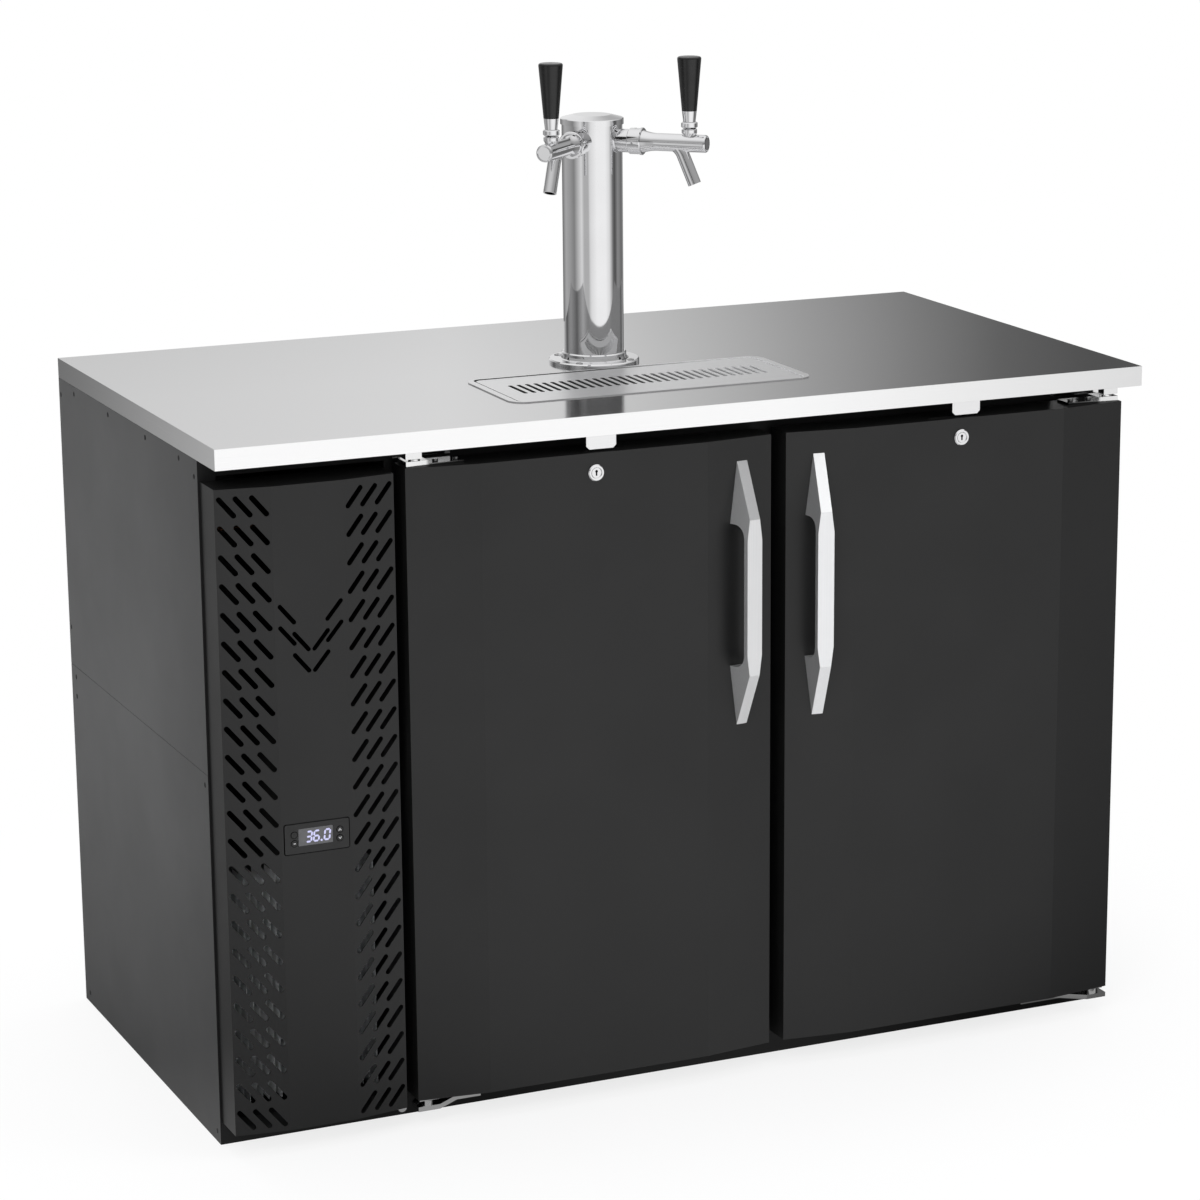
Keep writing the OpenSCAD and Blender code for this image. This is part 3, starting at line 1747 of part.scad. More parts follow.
// Cover over the coil with a round fan outlet and intake slots below
module evaporator_cover() {
  ring_r = evap_fan_d / 2 + 3;
  intake = 5;
  intake_w = evap_w * 2 / 3;
  intake_h = 7;
  intake_rise = coil_h / (intake + 0.5);
  color("#c6c9cb")
    difference() {
      block([liner_x0 + fit, evap_y0, evap_z0], [evap_x1, evap_y1, evap_z1]);
      block([liner_x0, evap_y0 + sheet, evap_z0 + sheet],
         [evap_x1 - sheet, evap_y1 - sheet, evap_z1 - sheet]);
      translate([evap_x1, evap_fan_y, 0])
        rotate([0, 0, 90]) {
          translate([0, 0, evap_fan_z])
            upright(-over, 2 * over + sheet)
              circle(ring_r);
          for (i = [0 : intake - 1])
            translate([0, 0, coil_z0 + (i + 0.5) * intake_rise])
              upright(-over, 2 * over + sheet)
                slot_shape(intake_w, intake_h);
        }
    }
}

// Motor on three arms behind the outlet, with the shaft that carries the fan
module evaporator_fan_motor() {
  motor_d = 44;
  motor_l = 30;
  hub_x = evap_x1 - evap_fan_in;
  arm_w = 8;
  arm_t = 2;
  back_x = hub_x - evap_hub_h / 2 - 3;
  reach = evap_fan_d / 2 + 6;
  color("#3c3d40")
    translate([0, evap_fan_y, evap_fan_z])
      rotate([0, 90, 0]) {
        translate([0, 0, back_x - motor_l])
          cylinder(d = motor_d, h = motor_l);
        translate([0, 0, back_x - over])
          cylinder(r = fan_shaft_r, h = evap_hub_h + 6);
        for (a = [0, 120, 240])
          rotate([0, 0, a]) {
            translate([0, -arm_w / 2, back_x - arm_t - 2])
              cube([reach, arm_w, arm_t]);
            translate([reach - arm_t, -arm_w / 2, back_x - arm_t - 2])
              cube([arm_t, arm_w, evap_x1 - sheet - fit - back_x + arm_t + 2]);
          }
      }
}

module evaporator_fan() {
  color("#2b2c2e")
    translate([evap_x1 - evap_fan_in, evap_fan_y, evap_fan_z])
      rotate([0, 90, 0])
        fan_wheel(evap_fan_d, evap_hub_d, evap_hub_h, 5, fan_shaft_r + run_clear);
}

base_pan();
side_panel_upper();
side_panel_lower();
side_panel_right();
back_panel();
insulated_body();
chamber_liner();
worktop();
drip_tray();
drip_grate();
tower_flange();
tower_column();
tower_cap();
faucet_shanks();
coupling_nuts();
faucet_body_left();
faucet_body_right();
tap_lever_left();
tap_lever_right();
tap_knob_left();
tap_knob_right();
valve_shaft_left();
valve_shaft_right();
grille_panel();
controller_bezel();
controller_screen();
button_power();
button_set();
button_up();
button_down();
door_skin_left();
door_skin_right();
door_core_left();
door_core_right();
door_gasket_left();
door_gasket_right();
door_handle_left();
door_handle_right();
lock_barrel_left();
lock_barrel_right();
lock_plug_left();
lock_plug_right();
hinge_leaves_left();
hinge_leaves_right();
hinge_brackets_top();
hinge_brackets_bottom();
strike_tabs();
screws();
cord_gland();
compressor();
compressor_mounts();
condenser();
fan_shroud();
condenser_fan_motor();
condenser_fan();
refrigerant_lines();
evaporator();
evaporator_cover();
evaporator_fan_motor();
evaporator_fan();
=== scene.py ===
import bpy, bmesh, json, math
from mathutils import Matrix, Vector


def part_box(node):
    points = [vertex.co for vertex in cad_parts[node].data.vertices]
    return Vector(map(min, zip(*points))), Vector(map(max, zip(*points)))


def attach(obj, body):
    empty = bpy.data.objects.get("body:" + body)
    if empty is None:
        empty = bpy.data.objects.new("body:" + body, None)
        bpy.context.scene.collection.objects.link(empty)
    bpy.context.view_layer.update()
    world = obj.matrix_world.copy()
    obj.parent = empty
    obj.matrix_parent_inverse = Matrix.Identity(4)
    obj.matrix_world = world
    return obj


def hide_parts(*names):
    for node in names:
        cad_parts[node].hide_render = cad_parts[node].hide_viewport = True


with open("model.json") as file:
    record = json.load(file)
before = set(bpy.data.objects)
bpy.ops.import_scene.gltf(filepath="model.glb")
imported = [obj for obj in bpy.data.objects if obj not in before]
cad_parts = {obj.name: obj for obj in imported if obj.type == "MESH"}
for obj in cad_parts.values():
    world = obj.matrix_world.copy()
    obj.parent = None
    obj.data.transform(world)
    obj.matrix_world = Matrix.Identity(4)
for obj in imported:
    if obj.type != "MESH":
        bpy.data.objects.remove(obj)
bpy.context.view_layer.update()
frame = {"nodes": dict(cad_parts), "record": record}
NODES = frame["nodes"]
BODY_OF = {n: b for b, names in frame["record"]["behaviour"]["bodies"].items() for n in names}
scene = bpy.context.scene


# ---- node helpers

MIX_FACTOR, MIX_A, MIX_B, MIX_RESULT = 0, 6, 7, 2   # colour sockets of a Mix node


class Nodes:
    """Small helper around a node tree."""

    def __init__(self, tree):
        self.tree = tree
        self.coord = self.put("ShaderNodeTexCoord")

    def put(self, kind, **values):
        """New node; each value goes to the input or the property of that name."""
        n = self.tree.nodes.new(kind)
        for k, v in values.items():
            if k in n.inputs:
                n.inputs[k].default_value = v
            else:
                setattr(n, k, v)
        return n

    def link(self, a, b):
        self.tree.links.new(a, b)

    def noise(self, scale, detail, rough=0.5, stretch=None):
        n = self.put("ShaderNodeTexNoise", Scale=scale, Detail=detail, Roughness=rough)
        place = self.coord.outputs["Object"]
        if stretch:
            m = self.put("ShaderNodeMapping", Scale=stretch)
            self.link(place, m.inputs["Vector"])
            place = m.outputs["Vector"]
        self.link(place, n.inputs["Vector"])
        return n.outputs["Fac"]

    def ramp(self, fac, stops):
        """Colour ramp; stops are (position, colour)."""
        r = self.put("ShaderNodeValToRGB")
        e = r.color_ramp.elements
        e[0].position, e[0].color = stops[0][0], (*stops[0][1], 1)
        e[1].position, e[1].color = stops[-1][0], (*stops[-1][1], 1)
        for p, c in stops[1:-1]:
            e.new(p).color = (*c, 1)
        self.link(fac, r.inputs["Fac"])
        return r.outputs["Color"]

    def span(self, fac, low, high, start=0.3, end=0.7):
        """Maps start..end to low..high; the default is the middle of a noise."""
        m = self.put("ShaderNodeMapRange", **{
            "To Min": low, "To Max": high, "From Min": start, "From Max": end})
        self.link(fac, m.inputs["Value"])
        return m.outputs["Result"]

    def math(self, kind, a, b):
        m = self.put("ShaderNodeMath", operation=kind)
        for i, v in enumerate((a, b)):
            if isinstance(v, (int, float)):
                m.inputs[i].default_value = v
            else:
                self.link(v, m.inputs[i])
        return m.outputs[0]

    def split(self, vector):
        n = self.put("ShaderNodeSeparateXYZ")
        self.link(vector, n.inputs[0])
        return n.outputs

    def azimuth(self, way):
        """Angle round the part from 0 to 1: the front is 0.5, and it grows to the right."""
        turn = self.math("ARCTAN2", way["X"], self.math("MULTIPLY", way["Y"], -1.0))
        return self.span(turn, 0.0, 1.0, -math.pi, math.pi)

    def either(self, fac, no, yes):
        """Shader mixed by a factor."""
        m = self.put("ShaderNodeMixShader")
        self.link(fac, m.inputs["Fac"])
        self.link(no, m.inputs[1])
        self.link(yes, m.inputs[2])
        return m.outputs[0]


class Material(Nodes):
    """Nodes of a new material."""

    def __init__(self, name):
        self.mat = bpy.data.materials.new(name)
        self.mat.use_nodes = True
        super().__init__(self.mat.node_tree)
        self.bsdf = self.tree.nodes["Principled BSDF"]
        self.out = self.tree.nodes["Material Output"]

    def set(self, socket, value):
        self.bsdf.inputs[socket].default_value = value

    def drive(self, socket, source):
        self.link(source, self.bsdf.inputs[socket])

    def tone(self, fac, dark, light, socket="Base Color"):
        """Colour that wanders between two tones with a noise."""
        self.drive(socket, self.ramp(fac, [(0.3, dark), (0.7, light)]))

    def bump(self, height, strength, distance):
        b = self.put("ShaderNodeBump", Strength=strength, Distance=distance)
        self.link(height, b.inputs["Height"])
        self.drive("Normal", b.outputs["Normal"])


# ---- kinds of material

def grey(v):
    return (v, v, v)


def steel(v):
    """Grey with a trace of blue."""
    return (v, v, v + 0.005)


def scaled(tone, factor):
    return tuple(min(1, c * factor) for c in tone)


def paint(name, tone, rough, spec=0.5):
    """Satin powder coat: fine orange peel, faint tone and gloss changes."""
    t = Material(name)
    t.tone(t.noise(6, 4), scaled(tone, 0.93), scaled(tone, 1.07))
    t.drive("Roughness", t.span(t.noise(9, 5), rough - 0.03, rough + 0.03))
    t.bump(t.noise(620, 2), 0.1, 0.0002)
    t.set("Specular IOR Level", spec)
    return t.mat


def brushed(name, tone, rough, along, strength=0.05, lines=1500, metallic=1.0):
    """Metal brushed along one axis: fine streaks in height, gloss and tone."""
    t = Material(name)
    stretch = [lines, lines, lines]
    stretch["xyz".index(along)] = 4
    streak = t.noise(1, 2, 0.6, stretch)
    t.tone(streak, scaled(tone, 0.96), scaled(tone, 1.03))
    t.drive("Roughness", t.span(streak, rough - 0.03, rough + 0.03))
    t.set("Metallic", metallic)
    t.bump(streak, strength, 0.0001)
    return t.mat


def satin(name, tone, rough, metallic):
    """Handles' finish, brushed along their length."""
    return brushed(name, tone, rough, "z", 0.06, 1200, metallic)


def metal(name, tone, rough, wave=0.006, scale=14):
    """Polished or plated metal with faint unevenness."""
    t = Material(name)
    t.tone(t.noise(30, 3), scaled(tone, 0.97), tone)
    t.drive("Roughness", t.span(t.noise(45, 4), max(0.02, rough - 0.02), rough + 0.02))
    t.set("Metallic", 1.0)
    t.bump(t.noise(scale, 1), wave, 0.001)
    return t.mat


def plating(name, v):
    return metal(name, grey(v), 0.10, 0.02, 90)


def plain(name, tone, rough, grain=0.08, scale=900, coat=0.0):
    """Plastic, rubber or glass with a fine moulded grain."""
    t = Material(name)
    t.tone(t.noise(60, 3), scaled(tone, 0.92), scaled(tone, 1.08))
    t.drive("Roughness", t.span(t.noise(80, 3), rough - 0.04, rough + 0.05))
    t.bump(t.noise(scale, 2), grain, 0.0002)
    t.set("Coat Weight", coat)
    return t.mat


def glow(name, tone, strength):
    """Lit segments over a dark base."""
    t = Material(name)
    t.tone(t.noise(400, 2), scaled(tone, 0.96), tone, "Emission Color")
    t.set("Base Color", (*grey(0.03), 1))
    t.set("Emission Strength", strength)
    return t.mat


def painted_light_along(mat, axis, stops):
    """Paints light and shade into a material's colour along one axis; stops are (metres, share
    of its colour).
    """
    t = Nodes(mat.node_tree)
    base = t.tree.nodes["Principled BSDF"].inputs["Base Color"]
    start, end = stops[0][0], stops[-1][0]
    place = t.span(t.split(t.coord.outputs["Object"])[axis], 0.0, 1.0, start, end)
    shade = t.ramp(place, [((at - start) / (end - start), grey(v)) for at, v in stops])
    mix = t.put("ShaderNodeMix", data_type="RGBA", blend_type="MULTIPLY")
    mix.inputs[MIX_FACTOR].default_value = 1.0
    t.link(base.links[0].from_socket, mix.inputs[MIX_A])
    t.link(shade, mix.inputs[MIX_B])
    t.link(mix.outputs[MIX_RESULT], base)
    return mat


# ---- materials

M = {
    "front": paint("front_paint", grey(0.0088), 0.40, 0.46),
    "back": paint("back_paint", grey(0.035), 0.46),
    # painted shade on the side panels: darker towards the front and the bottom, and a little
    # at the top
    "side": painted_light_along(painted_light_along(paint("side_paint_painted_shade", grey(0.090), 0.46),
                          "Y", [(-0.30, 0.60), (-0.05, 0.95), (0.2, 1.0)]),
                   "Z", [(0.0, 0.62), (0.35, 0.96), (0.55, 1.0), (0.85, 0.92)]),
    # frame paint: the base's, body's and left side screws' own black, also used as painted
    # shade in the keyholes and on the side panels' front flange and seam
    "frame": paint("frame_paint_and_painted_shade", grey(0.008), 0.55, 0.3),
    "shell": paint("shell_paint", grey(0.008), 0.3),
    # painted shade: the worktop darkens towards the back
    "steel_x": painted_light_along(brushed("worktop_steel_painted_shade", steel(0.645), 0.11, "x"),
                      "Y", [(-0.32, 1.0), (0.0, 0.96), (0.32, 0.86)]),
    # painted highlight: a brighter copy of the worktop steel for its edges, with painted shade
    # towards the right
    "steel_edge_highlight": painted_light_along(brushed("edge_steel_painted_highlight", steel(0.99), 0.14, "x"),
                         "X", [(-0.61, 1.0), (0.1, 0.99), (0.61, 0.84)]),
    # painted shade on the worktop's ends, darkening towards the back
    "steel_side_shade": painted_light_along(brushed("side_steel_painted_shade", steel(0.96), 0.22, "y"),
                         "Y", [(-0.32, 1.0), (-0.1, 0.78), (0.19, 0.47), (0.32, 0.37)]),
    "steel_tray": brushed("tray_steel", steel(0.88), 0.40, "x"),
    # painted shade in the drip tray's well and on the grate's walls, dark on the left and
    # lighter towards the right
    "steel_well_shade": painted_light_along(brushed("well_steel_painted_shade", steel(0.95), 0.5, "x", metallic=0.15),
                         "X", [(-0.25, 0.04), (-0.02, 0.08), (0.08, 0.55), (0.25, 0.95)]),
    "steel_tab": brushed("tab_steel", steel(0.9), 0.2, "x"),
    "steel_in": brushed("liner_steel", steel(0.55), 0.34, "x"),
    "coil": brushed("coil_fins", (0.9, 0.91, 0.92), 0.45, "z", metallic=0.2),
    "handle": satin("handle_satin", steel(0.72), 0.36, 0.8),
    # lit and shaded copies of the handle finish, for painted light on the handles' front faces
    # and upper slopes
    "handle_painted_dim": satin("handle_satin_painted_dim", steel(0.62), 0.34, 0.75),
    "handle_painted_mid": satin("handle_satin_painted_mid", steel(0.85), 0.34, 0.75),
    "handle_painted_light": satin("handle_satin_painted_light", steel(0.81), 0.34, 0.35),
    "handle_painted_bright": satin("handle_satin_painted_bright", steel(0.99), 0.34, 0.35),
    "chrome": metal("chrome", (0.84, 0.84, 0.85), 0.04),
    "zinc": metal("zinc", grey(0.74), 0.26, 0.05, 200),
    "copper": metal("copper_tube", (0.72, 0.36, 0.2), 0.25),
    "plated": plating("plated", 0.86),
    # painted highlight on the hinge leaves near the pin, painted shade along the rest of each
    # leaf
    "leaf_left": painted_light_along(plating("leaf_left_plated_painted_light", 0.88),
                        "X", [(-0.375, 1.0), (-0.348, 0.95), (-0.343, 0.16), (-0.30, 0.12)]),
    "leaf_right": painted_light_along(plating("leaf_right_plated_painted_light", 0.88),
                         "X", [(0.515, 0.12), (0.558, 0.16), (0.563, 0.95), (0.59, 1.0)]),
    "knob": plain("knob_black", grey(0.006), 0.22, 0.02, 700, 0.05),
    "plastic": plain("black_plastic", grey(0.012), 0.42),
    "rubber": plain("black_rubber", grey(0.015), 0.62, 0.15),
    "screen": plain("screen_glass", (0.082, 0.082, 0.086), 0.22, 0.01, 300, 0.4),
    "mark": plain("key_mark", grey(0.66), 0.5),
    "digit": glow("digit_light", (0.64, 0.64, 0.95), 1.0),
}

USE = {
    "front": ["grille_panel", "door_skin_left", "door_skin_right"],
    "side": ["side_panel_upper", "side_panel_lower"],
    "back": ["side_panel_right", "back_panel"],
    "frame": ["base_pan", "insulated_body"],
    "steel_x": ["worktop"],
    "steel_tab": ["strike_tabs"],
    "steel_tray": ["drip_tray", "drip_grate"],
    "steel_in": ["chamber_liner", "door_core_left", "door_core_right", "evaporator_cover"],
    "chrome": ["tower_flange", "tower_column", "tower_cap", "faucet_shanks", "coupling_nuts",
               "faucet_body_left", "faucet_body_right", "tap_lever_left", "tap_lever_right",
               "lock_barrel_left", "lock_barrel_right", "lock_plug_left", "lock_plug_right"],
    "plated": ["hinge_leaves_left", "hinge_leaves_right",
               "hinge_brackets_top", "hinge_brackets_bottom"],
    "zinc": ["screws", "valve_shaft_left", "valve_shaft_right"],
    "handle": ["door_handle_left", "door_handle_right"],
    "knob": ["tap_knob_left", "tap_knob_right"],
    "plastic": ["controller_bezel", "button_power", "button_set", "button_up", "button_down",
                "cord_gland", "fan_shroud", "condenser_fan", "evaporator_fan",
                "condenser_fan_motor", "evaporator_fan_motor"],
    "rubber": ["door_gasket_left", "door_gasket_right", "compressor_mounts"],
    "screen": ["controller_screen"],
    "coil": ["condenser", "evaporator"],
    "copper": ["refrigerant_lines"],
    "shell": ["compressor"],
}
for key, names in USE.items():
    for name in names:
        for slot in NODES[name].material_slots:
            slot.material = M[key]


# ---- pieces that stand for CAD nodes

WELD = 2e-6                 # metres
FLAT_ANGLE = 0.5            # degrees between faces that become one
LEAST_ROUND_ANGLE = 12      # degrees; gentler edges get no round
ROUND_SEGMENTS = 3


def new_object(name, mesh):
    ob = bpy.data.objects.new(name, mesh)
    scene.collection.objects.link(ob)
    return ob


def mesh_from(bm, name):
    mesh = bpy.data.meshes.new(name)
    bm.to_mesh(mesh)
    bm.free()
    return mesh


def middle(node):
    """Middle of a node's front face."""
    lo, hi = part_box(node)
    return (lo[0] + hi[0]) / 2, lo[1], (lo[2] + hi[2]) / 2


def copy_of(node, suffix):
    """Clean welded copy of a node's mesh as a piece that stands for it."""
    src = NODES[node]
    bm = bmesh.new()
    bm.from_mesh(src.data)
    bm.transform(src.matrix_world)
    bmesh.ops.remove_doubles(bm, verts=bm.verts, dist=WELD)
    bmesh.ops.dissolve_limit(bm, angle_limit=math.radians(FLAT_ANGLE),
                             verts=bm.verts, edges=bm.edges)
    mesh = mesh_from(bm, node + suffix)
    piece = new_object(node + suffix, mesh)
    for s in src.material_slots:
        mesh.materials.append(s.material)
    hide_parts(node)
    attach(piece, BODY_OF[node])
    return piece


def soften(node, width, sharp):
    """Edges with a small round, which catch the light as real ones do."""
    piece = copy_of(node, "_soft")
    piece.data.shade_smooth()
    piece.data.set_sharp_from_angle(angle=math.radians(sharp))
    mod = piece.modifiers.new("round", "BEVEL")
    mod.width = width
    mod.segments = ROUND_SEGMENTS
    mod.limit_method = "ANGLE"
    mod.angle_limit = math.radians(max(sharp, LEAST_ROUND_ANGLE))
    mod.use_clamp_overlap = True
    mod.harden_normals = True
    return piece


def add_painted_light_and_colour(piece, mat, test):
    """Gives the faces that pass the test one more material: painted light and shade on most
    pieces, the screws' own black on one.
    """
    mesh = piece.data
    mesh.materials.append(mat)
    for p in mesh.polygons:
        if test(p):
            p.material_index = len(mesh.materials) - 1


def upright(p):
    return abs(p.normal.z) < 0.5


def faces_front(p):
    return p.normal.y < -0.5


SOFT = {node: soften(node, width, sharp) for node, width, sharp in (
    ("worktop", 0.0012, 20),
    ("door_skin_left", 0.0014, 4), ("door_skin_right", 0.0014, 4),
    ("door_handle_left", 0.0008, 13), ("door_handle_right", 0.0008, 13),
    ("side_panel_upper", 0.0006, 20), ("side_panel_lower", 0.0006, 20),
    ("controller_bezel", 0.0004, 20), ("strike_tabs", 0.0004, 20))}

# worktop: painted highlight on the front and back edges, painted shade on the left and right
# sides
add_painted_light_and_colour(SOFT["worktop"], M["steel_edge_highlight"], upright)
add_painted_light_and_colour(SOFT["worktop"], M["steel_side_shade"], lambda p: abs(p.normal.x) > 0.7)

# handles: painted highlight and shade on the front face and its upper slope, in different
# tones on the two handles
for side, face, slope in (("left", "handle_painted_mid", "handle_painted_dim"),
                          ("right", "handle_painted_light", "handle_painted_bright")):
    pull = SOFT["door_handle_" + side]
    add_painted_light_and_colour(pull, M[face], faces_front)
    add_painted_light_and_colour(pull, M[slope], lambda p: faces_front(p) and p.normal.z > 0.1)
    # hinge leaves: painted highlight near the pin and painted shade further along
    leaf = copy_of("hinge_leaves_" + side, "_lit_and_shaded")
    leaf.data.materials[0] = M["leaf_" + side]

# locks: painted shade inside the keyhole, below the plug's front face
KEYHOLE_REACH, KEYHOLE_DEPTH = 0.005, 0.0002
for side in ("left", "right"):
    lock_x, _, lock_z = middle("lock_barrel_" + side)
    plug_front = middle("lock_plug_" + side)[1]
    add_painted_light_and_colour(copy_of("lock_plug_" + side, "_shaded_and_coloured"), M["frame"],
             lambda p: p.center.y > plug_front + KEYHOLE_DEPTH
             and math.hypot(p.center.x - lock_x, p.center.z - lock_z) < KEYHOLE_REACH)

# side panels: painted shade on the front flange and along the seam
for node in ("side_panel_upper", "side_panel_lower"):
    add_painted_light_and_colour(SOFT[node], M["frame"], lambda p: faces_front(p) or not upright(p))

# grate and tray: painted shade and light on the grate's walls and in the tray's well
TRAY_RIM = 0.0014
tray_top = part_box("drip_tray")[1][2]
add_painted_light_and_colour(copy_of("drip_grate", "_shaded_and_coloured"), M["steel_well_shade"], upright)
add_painted_light_and_colour(copy_of("drip_tray", "_shaded_and_coloured"), M["steel_well_shade"],
         lambda p: p.center.z < tray_top - TRAY_RIM)

# screws: black on the left side, flat heads on the tower's flange
LEFT_SIDE_X = -0.6
FLANGE_TOP, HEAD_KEPT = 0.8691, 0.4
heads = copy_of("screws", "_shaded_and_coloured")
add_painted_light_and_colour(heads, M["frame"], lambda p: p.center.x < LEFT_SIDE_X)
for v in heads.data.vertices:
    if v.co.z > FLANGE_TOP:
        v.co.z = FLANGE_TOP + (v.co.z - FLANGE_TOP) * HEAD_KEPT


# ---- display and key marks

MARK_THICK = 0.0002


def plate(name, loops, y, body, mat):
    """Thin raised marks on an upright face: outlines in x and z, standing out towards -Y."""
    bm = bmesh.new()
    for loop in loops:
        back = [bm.verts.new((x, y, z)) for x, z in loop]
        front = [bm.verts.new((x, y - MARK_THICK, z)) for x, z in loop]
        n = len(loop)
        bm.faces.new(front)
        bm.faces.new(back[::-1])
        for i in range(n):
            j = (i + 1) % n
            bm.faces.new((back[i], back[j], front[j], front[i]))
    bmesh.ops.recalc_face_normals(bm, faces=bm.faces)
    mesh = mesh_from(bm, name)
    mesh.materials.append(mat)
    ob = new_object(name, mesh)
    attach(ob, body)


def bar(x0, z0, x1, z1, w):
    """Slim six-sided stroke between two points."""
    a, b = Vector((x0, z0)), Vector((x1, z1))
    along = (b - a).normalized() * w / 2
    across = Vector((-along.y, along.x))
    return [tuple(v) for v in (a, a + along + across, b - along + across,
                               b, b - along - across, a + along - across)]


# shares of the screen's width or height
DIGIT_WIDE, DIGIT_TALL, STROKE, BASE_LINE = 0.148, 0.58, 0.105, 0.21
DIGITS = (("3", 0.215), ("6", 0.433), ("0", 0.745))
DOT_AT = 0.665
# shares of a stroke
STROKE_GAP, DOT_RADIUS, DOT_SIDES = 0.14, 0.62, 10
LEAN = 0.12
SEGMENTS = {"3": "abgcd", "6": "acdefg", "0": "abcdef"}

screen_low, screen_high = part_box("controller_screen")
screen_wide = screen_high[0] - screen_low[0]
screen_tall = screen_high[2] - screen_low[2]
stroke = screen_tall * STROKE
base_z = screen_low[2] + screen_tall * BASE_LINE


def digit(ch, x):
    """Outlines of a seven-segment digit whose lower left corner is at x."""
    w, h = screen_wide * DIGIT_WIDE, screen_tall * DIGIT_TALL
    m = h / 2
    spots = {"a": (0, h, w, h), "b": (w, m, w, h), "c": (w, 0, w, m), "d": (0, 0, w, 0),
             "e": (0, 0, 0, m), "f": (0, m, 0, h), "g": (0, m, w, m)}
    out = []
    for segment in SEGMENTS[ch]:
        x0, z0, x1, z1 = spots[segment]
        d = Vector((x1 - x0, z1 - z0)).normalized() * stroke * STROKE_GAP
        out.append([(x + px + LEAN * pz, base_z + pz)
                    for px, pz in bar(x0 + d.x, z0 + d.y, x1 - d.x, z1 - d.y, stroke)])
    return out


marks = []
for ch, at in DIGITS:
    marks += digit(ch, screen_low[0] + screen_wide * at)
dot_x, dot_r = screen_low[0] + screen_wide * DOT_AT, stroke * DOT_RADIUS
marks.append([(dot_x + dot_r * math.cos(a), base_z + dot_r * math.sin(a))
              for a in [i * math.tau / DOT_SIDES for i in range(DOT_SIDES)]])
plate("display_digits", marks, screen_low[1], "cabinet", M["digit"])

# arrows on two keys and a dash on one, in metres
REACH, PAST_TIP, ARROW_STROKE, DASH_STROKE = 0.0016, 0.0002, 0.0007, 0.0009
for node, up in (("button_up", REACH), ("button_down", -REACH)):
    x, y, z = middle(node)
    plate(node + "_mark", [bar(x - REACH, z - up, x + PAST_TIP, z + up, ARROW_STROKE),
                           bar(x + REACH, z - up, x - PAST_TIP, z + up, ARROW_STROKE)],
          y, BODY_OF[node], M["mark"])
x, y, z = middle("button_set")
plate("button_set_mark", [bar(x - REACH, z, x + REACH, z, DASH_STROKE)],
      y, BODY_OF["button_set"], M["mark"])


# ---- stage

def softbox(name, place, target, size, power):
    """Square area light that neither the camera nor metal sees."""
    light = bpy.data.lights.new(name, "AREA")
    light.energy = power
    light.shape = "SQUARE"
    light.size = size
    ob = new_object(name, light)
    ob.location = place
    way = Vector(target) - ob.location
    ob.rotation_euler = way.to_track_quat("-Z", "Y").to_euler()
    ob.visible_camera = False
    ob.visible_glossy = False


def sheet(name, corners, mat):
    """One four-sided face of the stage."""
    mesh = bpy.data.meshes.new(name)
    mesh.from_pydata(corners, [], [(0, 1, 2, 3)])
    mesh.materials.append(mat)
    new_object(name, mesh)


def only_mirrored(t, lit):
    """Ends a stage material that metal shows and all other light passes through."""
    ray = t.put("ShaderNodeLightPath")
    clear = t.put("ShaderNodeBsdfTransparent")
    t.link(t.either(ray.outputs["Is Glossy Ray"], clear.outputs[0], lit.outputs[0]),
           t.out.inputs["Surface"])


def by_degrees(stops):
    """Ramp stops for Nodes.azimuth from (degrees, grey): 0 is the front, 90 the right."""
    return [((a + 180) / 360, grey(v)) for a, v in stops]


# world: white to the camera, soft fill for the rest, and for metal a sky with light and dark
# panels near the horizon
HORIZON_END, SKY_START = 0.215, 0.265
world = bpy.data.worlds.new("studio")
scene.world = world
world.use_nodes = True
world.node_tree.nodes.clear()
wt = Nodes(world.node_tree)
way = wt.split(wt.coord.outputs["Generated"])
sky = wt.ramp(way["Z"], [(z, grey(v)) for z, v in (
    (0.0, 0.3), (0.42, 0.4), (0.55, 0.6), (0.78, 0.9), (1.0, 0.95))])
horizon = wt.ramp(wt.azimuth(way), by_degrees((
    (-180, 0.30), (-147, 0.10), (-120, 0.40), (-90, 0.15), (-64, 0.52), (-46, 0.30),
    (-34, 0.32), (40, 0.32), (52, 0.28), (96, 0.28), (113, 0.07), (147, 0.20), (180, 0.30))))
sky_mix = wt.put("ShaderNodeMix", data_type="RGBA")
wt.link(wt.span(way["Z"], 0.0, 1.0, HORIZON_END, SKY_START), sky_mix.inputs[MIX_FACTOR])
wt.link(horizon, sky_mix.inputs[MIX_A])
wt.link(sky, sky_mix.inputs[MIX_B])
w_fill = wt.put("ShaderNodeBackground", Color=(0.9, 0.92, 0.95, 1), Strength=0.5)
w_gloss = wt.put("ShaderNodeBackground", Strength=1.0)
w_white = wt.put("ShaderNodeBackground", Color=(1, 1, 1, 1), Strength=1.0)
wt.link(sky_mix.outputs[MIX_RESULT], w_gloss.inputs["Color"])
w_ray = wt.put("ShaderNodeLightPath")
w_unseen = wt.either(w_ray.outputs["Is Glossy Ray"], w_fill.outputs[0], w_gloss.outputs[0])
w_all = wt.either(w_ray.outputs["Is Camera Ray"], w_unseen, w_white.outputs[0])
wt.link(w_all, wt.put("ShaderNodeOutputWorld").inputs["Surface"])

